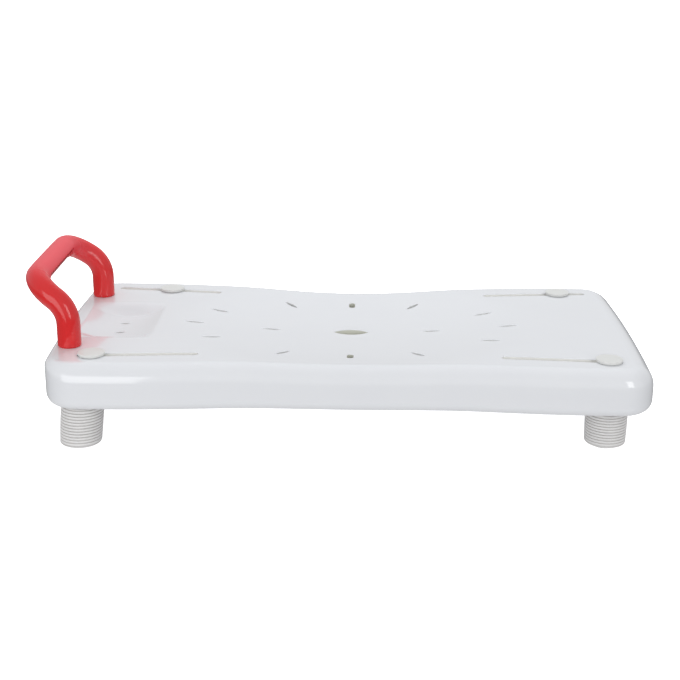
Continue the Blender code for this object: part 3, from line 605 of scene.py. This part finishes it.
def seat_outline():
    """(point, outward normal) all round the seat in world coordinates."""
    end_steps, corner_steps, side_steps = OUTLINE_STEPS
    half = BOARD_WIDTH / 2
    tilt = 0.0
    for _ in range(TILT_ROUNDS):
        corner_y = half - CORNER_RADIUS * (1 - math.sin(tilt))
        tilt = math.atan(2 * END_BOW * corner_y / half ** 2)
    end_x = BOARD_LENGTH / 2 - END_BOW * (corner_y / half) ** 2
    centre = (end_x - CORNER_RADIUS * math.cos(tilt), half - CORNER_RADIUS)
    quarter = []
    for i in range(end_steps):
        y = corner_y * i / end_steps
        slope = math.atan(2 * END_BOW * y / half ** 2)
        x = BOARD_LENGTH / 2 - END_BOW * (y / half) ** 2
        quarter.append((x, y, math.cos(slope), math.sin(slope)))
    for i in range(corner_steps):
        a = tilt + (math.pi / 2 - tilt) * i / corner_steps
        quarter.append((centre[0] + CORNER_RADIUS * math.cos(a), centre[1] + CORNER_RADIUS * math.sin(a),
                        math.cos(a), math.sin(a)))
    for i in range(side_steps + 1):
        x = centre[0] * (1 - i / side_steps)
        slope = (side_edge(x + SLOPE_STEP) - side_edge(x - SLOPE_STEP)) / (2 * SLOPE_STEP)
        size = math.hypot(slope, 1.0)
        quarter.append((x, side_edge(x), -slope / size, 1 / size))
    half_ring = quarter + [(-x, y, -nx, ny) for x, y, nx, ny in reversed(quarter[:-1])]
    ring = half_ring + [(x, -y, nx, -ny) for x, y, nx, ny in reversed(half_ring[1:-1])]
    return [((BOARD_X + x, y), (nx, ny)) for x, y, nx, ny in ring]


def lens(length, width, count):
    """A lens outline with fine points, round the origin."""
    outline = []
    for i in range(count):
        a = 2 * math.pi * i / count
        across = math.copysign(abs(math.sin(a)) ** LENS_TAPER, math.sin(a))
        outline.append((length / 2 * math.cos(a), width / 2 * across))
    return outline


def stadium(length, width, count):
    """A slot outline with half-round ends and points along its straights."""
    radius, half = width / 2, length / 2 - width / 2
    arc = [(half + radius * math.cos(a), radius * math.sin(a))
           for a in (math.pi * (i / count - 0.5) for i in range(count + 1))]
    steps = max(1, round(2 * half / SLOT_POINT_STEP))
    top = [(half * (1 - 2 * i / steps), radius) for i in range(1, steps)]
    side = arc + top
    return side + [(-x, -y) for x, y in side]


def turned_to(outline, x, y, turn):
    """An outline turned and moved to a world place given in board coordinates."""
    c, s = math.cos(turn), math.sin(turn)
    return [(BOARD_X + x + px * c - py * s, y + px * s + py * c) for px, py in outline]


def round_outline(radius, count, x, y):
    """A round outline at a world place."""
    return [point[:2] for point in circle(radius, 0, count, x, y)]


def widened(outline, by):
    """An outline moved outwards along its normals."""
    result = []
    count = len(outline)
    for i, (x, y) in enumerate(outline):
        (x1, y1), (x2, y2) = outline[i - 1], outline[(i + 1) % count]
        nx, ny = y2 - y1, x1 - x2
        size = math.hypot(nx, ny)
        result.append((x + nx / size * by, y + ny / size * by))
    return result


def slot_place(side_x, side_y, along):
    """A point on a slot's centre line in board coordinates."""
    return side_x * along, side_y * (SLOT_INNER[1] + (along - SLOT_INNER[0]) * math.tan(SLOT_ANGLE))


def slot_turn(side_x, side_y):
    """The direction of a slot, outwards."""
    return math.atan2(side_y * math.sin(SLOT_ANGLE), side_x * math.cos(SLOT_ANGLE))


def seat_openings():
    """(outline, lip, material of the wall) of every opening that goes right through the seat."""
    # The centre and middle drains' walls take the warm painted shade, the small drains' walls the plain painted
    # shade
    openings = [(turned_to(lens(*CENTRE_DRAIN, CENTRE_DRAIN_COUNT), 0, 0, 0), DRAIN_LIP, WARM_SHADED_WALL)]
    for side_y in (-1, 1):
        outline = turned_to(stadium(*OBLONG_DRAIN, OBLONG_DRAIN_COUNT), 0, side_y * OBLONG_DRAIN_Y, math.pi / 2)
        openings.append((outline, DRAIN_LIP, WARM_SHADED_WALL))
    for x, y in DRAIN_SLOTS:
        for side_x in (-1, 1):
            for side_y in ((-1, 1) if y else (1,)):
                turn = math.atan2(side_y * y, side_x * x)
                outline = turned_to(lens(*DRAIN_SLOT, DRAIN_SLOT_COUNT), side_x * x, side_y * y, turn)
                openings.append((outline, DRAIN_LIP, SHADED_WALL))
    length = (SLOT_OUTER[0] - SLOT_INNER[0]) / math.cos(SLOT_ANGLE)
    for side_x, side_y, _, _ in FEET.values():
        x, y = slot_place(side_x, side_y, (SLOT_INNER[0] + SLOT_OUTER[0]) / 2)
        outline = turned_to(stadium(length, SLOT_WIDTH, SLOT_COUNT), x, y, slot_turn(side_x, side_y))
        # The adjustment slots' walls take the painted glow
        openings.append((outline, SLOT_LIP, GLOWING_WALL))
    for side_y in (-1, 1):
        outline = lens(*SOAP_DRAIN, SOAP_DRAIN_COUNT)
        outline = turned_to(outline, SOAP_X, side_y * SOAP_DRAIN_Y, SOAP_DRAIN_TURN)
        openings.append((outline, SOAP_DRAIN_LIP, SHADED_WALL))
    return openings


def lip_rings(outline, lip, height, sign):
    """Rings of a rolled edge, from the deck or underside in to the wall of an opening."""
    rings = []
    for k in range(LIP_STEPS + 1):
        a = math.pi / 2 * (1 - k / LIP_STEPS)
        shift, drop = lip * (1 - math.cos(a)), lip * (1 - math.sin(a))
        ring = widened(outline, shift)
        rings.append([(x, y, height(x, y) - sign * drop) for x, y in ring])
    return rings


def spread_points(border, holes, step, room, fine_box=None, fine_step=None):
    """Points in rows over a border, clear of its holes by some room, closer together in one box if there is one."""
    low = np.min(border, axis=0)
    high = np.max(border, axis=0)
    grids = []
    for spacing, box in ((step, None), (fine_step, fine_box)):
        if spacing is None:
            continue
        x1, y1, x2, y2 = box or (*low, *high)
        xs = np.arange(x1, x2, spacing)
        ys = np.arange(y1, y2, spacing)
        spots = np.array([(x + (j % 2) * spacing / 2, y) for j, y in enumerate(ys) for x in xs])
        if box is None and fine_box:
            bx1, by1, bx2, by2 = fine_box
            within = (spots[:, 0] > bx1) & (spots[:, 0] < bx2) & (spots[:, 1] > by1) & (spots[:, 1] < by2)
            spots = spots[~within]
        grids.append(spots)
    spots = np.vstack(grids)
    spots = spots[inside([tuple(p) for p in border], spots)]
    for hole in holes:
        spots = spots[~inside([tuple(p) for p in hole], spots)]
    for loop in [border, *holes]:
        nearest = np.full(len(spots), np.inf)
        for point in np.array(loop):
            nearest = np.minimum(nearest, np.hypot(*(spots - point).T))
        spots = spots[nearest > room]
    return [tuple(p) for p in spots]


def rim_rings(stations):
    """Rings from the deck over the rolled rim to the underside."""
    tops = []
    for (x, y), (nx, ny) in stations:
        radius = top_edge_radius(nx, ny)
        ring_x, ring_y = x - nx * radius, y - ny * radius
        rise = (seat_height(ring_x + nx * TILT_STEP, ring_y + ny * TILT_STEP)
                - seat_height(ring_x - nx * TILT_STEP, ring_y - ny * TILT_STEP)) / (2 * TILT_STEP)
        tilt = math.atan(rise)
        inset = radius * (1 + math.sin(tilt))
        start = seat_height(x - nx * inset, y - ny * inset)
        tops.append((radius, tilt, start + radius * (1 - math.cos(tilt))))
    rings = []
    for k in range(EDGE_STEPS + 1):
        ring = []
        for ((x, y), (nx, ny)), (radius, tilt, crest) in zip(stations, tops):
            a = -tilt + (math.pi / 2 + tilt) * k / EDGE_STEPS
            inset = radius * (1 - math.sin(a))
            ring.append((x - nx * inset, y - ny * inset, crest - radius * (1 - math.cos(a))))
        rings.append(ring)
    for k in range(EDGE_STEPS + 1):
        a = math.pi / 2 * k / EDGE_STEPS
        inset = BOTTOM_EDGE_RADIUS * (1 - math.cos(a))
        rise = BOTTOM_EDGE_RADIUS * (1 - math.sin(a))
        rings.append([(x - nx * inset, y - ny * inset, underside_height(x) + rise) for (x, y), (nx, ny) in stations])
    return rings


def cut_openings(skin):
    """Adds the walls of every opening. Gives its rings in the deck and underside, and the material of its walls."""
    deck_holes, under_holes, walls = [], [], {}
    for outline, lip, painted_wall_light in seat_openings():
        first = len(skin.faces)
        upper = lip_rings(outline, lip, seat_height, 1)
        lower = lip_rings(outline, lip, underside_height, -1)
        chain = skin.chain(upper + lower[::-1])
        deck_holes.append(chain[0])
        under_holes.append(chain[-1])
        white_faces = LIP_WHITE_BANDS * len(outline)
        # Past the lip's white bands, the wall takes its material of painted shade, or of painted glow in a slot
        walls.update(dict.fromkeys(range(first + white_faces, len(skin.faces) - white_faces), painted_wall_light))
    for side_y in (-1, 1):
        upper, lower = make_socket(skin, side_y)
        deck_holes.append(upper)
        under_holes.append(lower)
    under_holes.append(make_vent(skin))
    return deck_holes, under_holes, walls


def make_socket(skin, side_y):
    """A socket for a leg of the handle, from its seat in the deck down to the counterbore underneath."""
    x, y = BOARD_X + HANDLE_LEG[0], side_y * HANDLE_LEG[1]
    wall, bore = HANDLE_RADIUS + GAP, SPIGOT_RADIUS + GAP
    seat_z = DECK_Z - SOCKET_SEAT
    floor_z = UNDERSIDE_Z + COUNTERBORE_DEPTH
    rings = lip_rings(round_outline(wall, SOCKET_COUNT, x, y), SOCKET_LIP, seat_height, 1)
    for radius, z in ((wall, seat_z), (bore, seat_z), (bore, floor_z + SCREW_WEB),
                      (SCREW_HOLE_RADIUS, floor_z + SCREW_WEB), (SCREW_HOLE_RADIUS, floor_z),
                      (COUNTERBORE_RADIUS, floor_z)):
        rings.append(circle(radius, z, SOCKET_COUNT, x, y))
    outline = round_outline(COUNTERBORE_RADIUS, SOCKET_COUNT, x, y)
    rings += lip_rings(outline, COUNTERBORE_LIP, underside_height, -1)[::-1]
    chain = skin.chain(rings)
    return chain[0], chain[-1]


def make_vent(skin):
    """The blind hole of the moulding vent, which its plug closes."""
    x = BOARD_X + VENT_X
    rings = [circle(VENT_RADIUS, UNDERSIDE_Z + VENT_DEPTH, VENT_COUNT, x, 0)]
    rings += lip_rings(round_outline(VENT_RADIUS, VENT_COUNT, x, 0), VENT_LIP, underside_height, -1)[::-1]
    chain = skin.chain(rings)
    skin.cap(chain[0])
    return chain[-1]


def make_seat():
    """The seat board: one skin from the dished deck over the rolled rim to the underside, with its openings."""
    skin = Skin()
    rim = skin.chain(rim_rings(seat_outline()))
    deck_holes, under_holes, walls = cut_openings(skin)
    half_x, half_y = SOAP_FINE_HALF
    soap = (BOARD_X + SOAP_X - half_x, -half_y, BOARD_X + SOAP_X + half_x, half_y)
    for ring, holes, height, up, spacing in (
            (rim[0], deck_holes, seat_height, 1, (DECK_STEP, DECK_ROOM, soap, SOAP_STEP)),
            (rim[-1], under_holes, underside_height, -1, (UNDERSIDE_STEP, UNDERSIDE_ROOM))):
        border = [skin.points[i][:2] for i in ring]
        loops = [[skin.points[i][:2] for i in hole] for hole in holes]
        skin.patch(ring, holes, spread_points(border, loops, *spacing), height, up)
    data = skin.mesh("seat_board")
    place("seat_board", data, "board", "board", white_polyethylene)
    for material in (glowing_slot_polyethylene, drain_shade_polyethylene, shaded_polyethylene):
        data.materials.append(material)
    for i, painted_wall_light in walls.items():
        data.polygons[i].material_index = painted_wall_light


# ---- Grab handle ----------------------------------------------------------


def bent_path(corners, radii):
    """A centre line through corner points, its corners rounded, its straights divided."""
    path = [corners[0]]
    for before, corner, after, radius in zip(corners, corners[1:], corners[2:], radii):
        one, two = (before - corner).normalized(), (after - corner).normalized()
        half = one.angle(two) / 2
        centre = corner + (one + two).normalized() * radius / math.sin(half)
        start = corner + one * radius / math.tan(half) - centre
        end = corner + two * radius / math.tan(half) - centre
        sweep = math.pi - 2 * half
        bend = [centre + (start * math.sin((1 - t) * sweep) + end * math.sin(t * sweep)) / math.sin(sweep)
                for t in (k / BEND_STEPS for k in range(BEND_STEPS + 1))]
        path += divided(path[-1], bend[0])[1:] + bend[1:]
    path += divided(path[-1], corners[-1])[1:]
    return path


def divided(one, two):
    """Points along a straight, both ends included."""
    count = max(1, round((two - one).length / STRAIGHT_STEP))
    return [one.lerp(two, i / count) for i in range(count + 1)]


def mirrored(path):
    """A path on the other side of the seat, from its far end back."""
    return [Vector((p.x, -p.y, p.z)) for p in reversed(path)]


def handle_corners():
    """Corner points of the handle's centre line, front leg first."""
    x, y = BOARD_X + HANDLE_LEG[0], HANDLE_LEG[1]
    front = [Vector((x, -y, DECK_Z - SOCKET_SEAT + GAP)), Vector((x, -y, DECK_Z + HANDLE_KNEE_HEIGHT)),
             Vector((x - HANDLE_BAR_LEAN, -HANDLE_BAR_Y, DECK_Z + HANDLE_BAR_HEIGHT))]
    return front + mirrored(front)


def tube_rings(path, radii):
    """Rings of a round bar along a path."""
    rings = []
    across = Vector((0.0, 1.0, 0.0))
    for i, point in enumerate(path):
        ahead = path[min(i + 1, len(path) - 1)] - point
        behind = point - path[max(i - 1, 0)]
        along = (ahead.normalized() + behind.normalized()).normalized()
        across = (across - along * across.dot(along)).normalized()
        other = along.cross(across)
        rings.append([tuple(point + (across * math.cos(a) + other * math.sin(a)) * radii[i])
                      for a in (2 * math.pi * k / BAR_COUNT for k in range(BAR_COUNT))])
    return rings


def bar_path(seat):
    """(path, radii) of the bent bar above the deck, thinner under its grip as far as seat from the middle."""
    corners = handle_corners()
    path = bent_path(corners, [HANDLE_KNEE_RADIUS, HANDLE_ELBOW_RADIUS, HANDLE_ELBOW_RADIUS, HANDLE_KNEE_RADIUS])
    under = HANDLE_RADIUS - GRIP_THICKNESS - GAP
    radii = []
    for p in path:
        on_bar = abs(p.z - corners[2].z) < HAIR and abs(p.y) < seat
        radii.append(under if on_bar else HANDLE_RADIUS)
    steps = [i for i in range(1, len(path)) if radii[i] != radii[i - 1]]
    for i in reversed(steps):
        side = math.copysign(seat, path[i].y)
        edge = Vector((path[i].x, side, path[i].z))
        path[i:i] = [edge, edge + Vector((0, HAIR, 0))]
        radii[i:i] = [radii[i - 1], radii[i]]
    return path, radii


def make_handle():
    """The bent bar, with spigots in the seat's sockets and a shallow seat for its grip."""
    seat = GRIP_LENGTH / 2 + GAP
    path, radii = bar_path(seat)
    base = path[0]
    tip = UNDERSIDE_Z + SPIGOT_TIP
    front = [Vector((base.x, base.y, tip)), Vector((base.x, base.y, tip + SPIGOT_CHAMFER)), base.copy()]
    front += [base + Vector((0, 0, rise)) for rise, _ in LEG_ROLL]
    front_radii = [SPIGOT_RADIUS - SPIGOT_CHAMFER, SPIGOT_RADIUS, SPIGOT_RADIUS]
    front_radii += [HANDLE_RADIUS - pull for _, pull in LEG_ROLL]
    skin = Skin()
    skin.solid(tube_rings(front + path[1:-1] + mirrored(front), front_radii + radii[1:-1] + front_radii[::-1]))
    data = skin.mesh("grab_handle", SHARP_ANGLE)
    place("grab_handle", data, "board", "handle", red_polypropylene_painted_sheen)
    data.materials.append(painted_shade_red)
    # Painted shade: the bar's faces under the grip take the darker red
    for polygon in data.polygons:
        polygon.material_index = int(max(abs(data.vertices[i].co.y) for i in polygon.vertices) < seat + 1e-6)


def make_grip():
    """The satin saddle over the cross bar, open below, its edges rolled."""
    bar_x, bar_z = BOARD_X + HANDLE_LEG[0] - HANDLE_BAR_LEAN, DECK_Z + HANDLE_BAR_HEIGHT
    outer, inner = HANDLE_RADIUS + GRIP_CROWN, HANDLE_RADIUS - GRIP_THICKNESS
    roll, tuck = GRIP_EDGE_ROLL, GRIP_EDGE_ROLL / outer
    shallow, slight = outer - roll * GRIP_EDGE_STEP, tuck * GRIP_EDGE_STEP
    angles = [GRIP_START + (GRIP_END - GRIP_START) * i / GRIP_ARC_STEPS for i in range(GRIP_ARC_STEPS + 1)]
    section = [(outer - roll, angles[0]), (shallow, angles[0] + slight), (outer, angles[0] + tuck)]
    section += [(outer, a) for a in angles[1:-1]]
    section += [(outer, angles[-1] - tuck), (shallow, angles[-1] - slight), (outer - roll, angles[-1])]
    section += [(inner, a) for a in reversed(angles)]
    half = GRIP_LENGTH / 2 + GAP * 0.8
    rings = []
    for y in (-half, *np.linspace(-half + GRIP_END_STEP, half - GRIP_END_STEP, GRIP_RING_COUNT), half):
        into_taper = (abs(y) - half + GRIP_TAPER_START) / GRIP_TAPER_LENGTH
        taper = GRIP_CROWN * min(1.0, max(0.0, into_taper)) ** GRIP_TAPER_CURVE
        radii = [r - taper if r > inner else r for r, _ in section]
        rings.append([(bar_x + r * math.cos(a), y, bar_z + r * math.sin(a)) for r, (_, a) in zip(radii, section)])
    skin = Skin()
    chain = skin.chain(rings)
    last = len(section) - 1
    for ring in (chain[0], chain[-1]):
        for i in range(len(section) // 2 - 1):
            skin.faces.append((ring[i], ring[i + 1], ring[last - i - 1], ring[last - i]))
    data = skin.mesh("handle_grip_saddle", SHARP_ANGLE)
    place("handle_grip_saddle", data, "board", "handle_grip", soft_red_plastic_painted_sheen)


# ---- Buttons, feet and fixings --------------------------------------------


def rolled(profile, radius):
    """A profile with its inner corners rounded off."""
    result = [profile[0]]
    for before, corner, after in zip(profile, profile[1:], profile[2:]):
        b, c, a = Vector(before), Vector(corner), Vector(after)
        reach = min(radius, (b - c).length * CORNER_SHARE, (a - c).length * CORNER_SHARE)
        one, two = c + (b - c).normalized() * reach, c + (a - c).normalized() * reach
        for k in range(CORNER_STEPS + 1):
            t = k / CORNER_STEPS
            result.append(tuple(one * (1 - t) ** 2 + c * 2 * t * (1 - t) + two * t * t))
    result.append(profile[-1])
    return result


def make_button(name, x, y, turn):
    """An ivory button on the deck, its neck down in the slot."""
    low = DECK_Z + GAP
    rim = low + BUTTON_RIM
    foot = BUTTON_RADIUS - BUTTON_UNDERCUT
    start, end = BUTTON_UNDERCUT_HEIGHTS
    side = [(foot, low), (foot, low + start), (BUTTON_RADIUS, low + end), (BUTTON_RADIUS, rim)]
    dome = []
    for k in range(1, DOME_STEPS + 1):
        t = k / DOME_STEPS
        dome.append((BUTTON_RADIUS * (1 - t ** DOME_SPACING * DOME_REACH),
                     rim + BUTTON_CROWN * math.sin(t * math.pi / 2) ** DOME_CURVE))
    profile = rolled(side + dome[:1], BUTTON_EDGE_RADIUS) + dome[1:]
    skin, neck = Skin(), Skin()
    skin.solid([circle(r, z, BUTTON_COUNT) for r, z in profile])
    shape = stadium(NECK_LENGTH, SLOT_WIDTH - 2 * GAP, NECK_COUNT)
    neck.solid([[(px, py, z) for px, py in shape] for z in (low - NECK_DEPTH, low + NECK_OVERLAP)])
    skin.add(neck)
    data = skin.mesh("button_" + name, SHARP_ANGLE)
    stand(data, x, y, turn)
    place("ivory_button_" + name, data, "leg_" + name, "button_" + name, ivory_nylon)


def sleeve_profile():
    """(radius, height, offset) down the outside of a sleeve, round its rolled foot, and up its bore."""
    inner = CORE_RADIUS + GAP
    profile = [(inner - CORE_LIP, 0.0, CORE_OFFSET)]
    for k in range(FOOT_EDGE_STEPS + 1):
        a = math.pi / 2 * k / FOOT_EDGE_STEPS
        profile.append((FOOT_BOTTOM_RADIUS - FOOT_EDGE_REACH * (1 - math.sin(a)),
                        FOOT_EDGE_RADIUS * (1 - math.cos(a)), FOOT_OFFSET + FOOT_LEAN))
    for i in range(1, FOOT_RIBS * RIB_STEPS + 1):
        z = FOOT_EDGE_RADIUS + i * RIB_PITCH / RIB_STEPS
        t = z / FOOT_TOP_Z
        groove = abs(2 * ((i / RIB_STEPS) % 1.0) - 1) ** FOOT_RIB_CURVE
        depth = FOOT_RIB_DEPTH * min(1.0, FOOT_RIB_FADE[0] + FOOT_RIB_FADE[1] * t)
        radius = FOOT_BOTTOM_RADIUS + (FOOT_TOP_RADIUS - FOOT_BOTTOM_RADIUS) * t
        radius += FOOT_BELLY * math.sin(math.pi * t) - depth * groove
        profile.append((radius, z, FOOT_OFFSET + FOOT_LEAN * (1 - t) ** FOOT_LEAN_CURVE))
    return profile + [(FOOT_TOP_RADIUS, FOOT_TOP_Z - FOOT_TOP_CHAMFER, FOOT_OFFSET),
                      (FOOT_TOP_RADIUS - FOOT_TOP_CHAMFER, FOOT_TOP_Z, FOOT_OFFSET),
                      (inner, FOOT_TOP_Z, CORE_OFFSET), (inner, CORE_START, CORE_OFFSET),
                      (inner - CORE_LIP, CORE_START, CORE_OFFSET)]


def make_sleeve(name, x, y, turn):
    """A ribbed rubber sleeve on its stud's axis, turned to where it is clamped."""
    skin = Skin()
    chain = skin.chain([circle(r, z, SLEEVE_COUNT, offset) for r, z, offset in sleeve_profile()])
    skin.bridge(chain[-1], chain[0])
    data = skin.mesh("sleeve_" + name)
    stand(data, x, y, turn)
    data.set_sharp_from_angle(angle=SLEEVE_SHARP_ANGLE)
    place("ribbed_sleeve_" + name, data, "foot_" + name, "foot_sleeve_" + name, pale_rubber_groove_shade)


def dress(node, material):
    """Gives a CAD node that stays its better material."""
    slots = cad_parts[node].data.materials
    slots.clear()
    slots.append(material)


def make_feet():
    """Every foot with its button, and the fixings between them."""
    for name, (side_x, side_y, along, thick_side) in FEET.items():
        x, y = slot_place(side_x, side_y, along)
        make_button(name, BOARD_X + x, y, slot_turn(side_x, side_y))
        make_sleeve(name, BOARD_X + x, y, thick_side)
        for part, material in (("stud_", stainless_steel), ("foot_nut_", stainless_steel),
                               ("thrust_washer_", white_acetal), ("foot_core_", grey_polypropylene)):
            dress(part + name, material)


def dress_board_fixings():
    """The handle's screws and their washers, and the plug of the moulding vent."""
    for side in ("front", "back"):
        dress("handle_screw_" + side, stainless_steel)
        dress("handle_washer_" + side, pale_rubber_groove_shade)
    dress("vent_plug", grey_polypropylene)


# ---- Studio ---------------------------------------------------------------


def make_floor():
    """A wide pale floor, softly lit from inside like a light table, so shadows stay faint."""
    data = bpy.data.meshes.new("studio_floor")
    corners = [(x * FLOOR_HALF, y * FLOOR_HALF, 0) for x, y in ((-1, -1), (1, -1), (1, 1), (-1, 1))]
    data.from_pydata(corners, [], [(0, 1, 2, 3)])
    floor = bpy.data.objects.new("studio_floor", data)
    bpy.context.scene.collection.objects.link(floor)
    material = bpy.data.materials.new("matt_white_acrylic_floor")
    material.use_nodes = True
    tree = material.node_tree
    shader = tree.nodes["Principled BSDF"]
    spot = add_node(tree, "ShaderNodeTexCoord").outputs["Object"]
    cloud = add_node(tree, "ShaderNodeTexNoise", {"Vector": spot}, in_Scale=0.7)
    tint = blended(tree, "RGBA", cloud.outputs["Fac"], linear("#FAFAFA"), linear("#FBFBFC"))
    tree.links.new(tint, shader.inputs["Base Color"])
    shader.inputs["Roughness"].default_value = 0.9
    shader.inputs["Specular IOR Level"].default_value = 0.1
    shader.inputs["Emission Color"].default_value = (1, 1, 1, 1)
    shader.inputs["Emission Strength"].default_value = FLOOR_GLOW
    data.materials.append(material)
    floor.visible_diffuse = False
    floor.visible_glossy = False
    floor.visible_shadow = False


def add_softbox(name, spot, aim, size, power):
    """A square or oblong soft light, aimed at a point."""
    light = bpy.data.lights.new(name, "AREA")
    light.shape = "RECTANGLE"
    light.size, light.size_y = size
    light.energy = power
    lamp = bpy.data.objects.new(name, light)
    lamp.location = spot
    lamp.rotation_mode = "QUATERNION"
    lamp.rotation_quaternion = (Vector(aim) - Vector(spot)).to_track_quat("-Z", "Y")
    bpy.context.scene.collection.objects.link(lamp)
    return lamp


def toward(start, azimuth, elevation, distance):
    """A point seen from start at an azimuth and elevation in degrees; azimuth 0 is towards the camera."""
    az, el = math.radians(azimuth), math.radians(elevation)
    way = Vector((math.sin(az) * math.cos(el), -math.cos(az) * math.cos(el), math.sin(el)))
    return Vector(start) + way * distance


def make_room():
    """A pale room that glows from above and from below, dimmest just under the horizon; the camera sees it white."""
    world = bpy.data.worlds.new("studio_room")
    world.use_nodes = True
    tree = world.node_tree
    direction = add_node(tree, "ShaderNodeTexCoord").outputs["Generated"]
    height = add_node(tree, "ShaderNodeSeparateXYZ", {"Vector": direction}).outputs["Z"]
    below = add_node(tree, "ShaderNodeMapRange", {"Value": height}, in_From_Min=UNDER_HEIGHTS[0],
                     in_From_Max=UNDER_HEIGHTS[1], in_To_Min=UNDER_GLOW, in_To_Max=LOW_ROOM_GLOW)
    glow = add_node(tree, "ShaderNodeMapRange", {"Value": height, "To Min": below.outputs["Result"]},
                    in_From_Min=HORIZON_HEIGHTS[0], in_From_Max=HORIZON_HEIGHTS[1], in_To_Max=ROOM_GLOW)
    seen = add_node(tree, "ShaderNodeLightPath").outputs["Is Camera Ray"]
    background = tree.nodes["Background"]
    background.inputs["Color"].default_value = linear("#F8F8F9")
    tree.links.new(blended(tree, "FLOAT", seen, glow.outputs["Result"], BACKDROP_GLOW),
                   background.inputs["Strength"])
    bpy.context.scene.world = world


def make_lights():
    """An overhead softbox behind the seat, and one on each side in front that draws the long edge highlights."""
    overhead = add_softbox("overhead_softbox", (BOARD_X, *OVERHEAD_PLACE), (BOARD_X, 0, DECK_Z), OVERHEAD_SIZE,
                           OVERHEAD_POWER)
    overhead.visible_glossy = False
    overhead.data.color = OVERHEAD_COLOUR
    for name, (edge_x, direction, distance, size, power) in SIDE_BOXES.items():
        edge = (BOARD_X + edge_x, SIDE_BOX_AIM[0], DECK_Z + SIDE_BOX_AIM[1])
        add_softbox(name, toward(edge, *direction, distance), edge, size, power)


def make_camera():
    """The photograph's view: from in front of the seat's middle, looking down on it by some 18 degrees."""
    scene = bpy.context.scene
    data = bpy.data.cameras.new("studio_camera")
    data.sensor_width = SENSOR_WIDTH
    data.lens = FOCAL_LENGTH / PICTURE_WIDTH * SENSOR_WIDTH
    data.shift_x = SIDE_SHIFT / PICTURE_WIDTH
    data.clip_start, data.clip_end = CAMERA_CLIP
    camera = bpy.data.objects.new("studio_camera", data)
    x, y, z = CAMERA_PLACE
    camera.matrix_world = (Matrix.Translation((BOARD_X + x, y, DECK_Z + z))
                           @ Matrix.Rotation(math.pi / 2 - CAMERA_PITCH, 4, "X")
                           @ Matrix.Rotation(CAMERA_ROLL, 4, "Z"))
    scene.collection.objects.link(camera)
    scene.camera = camera


make_camera()
make_seat()
make_handle()
make_grip()
make_feet()
dress_board_fixings()
make_floor()
make_room()
make_lights()
bpy.context.scene.view_settings.view_transform = "Standard"
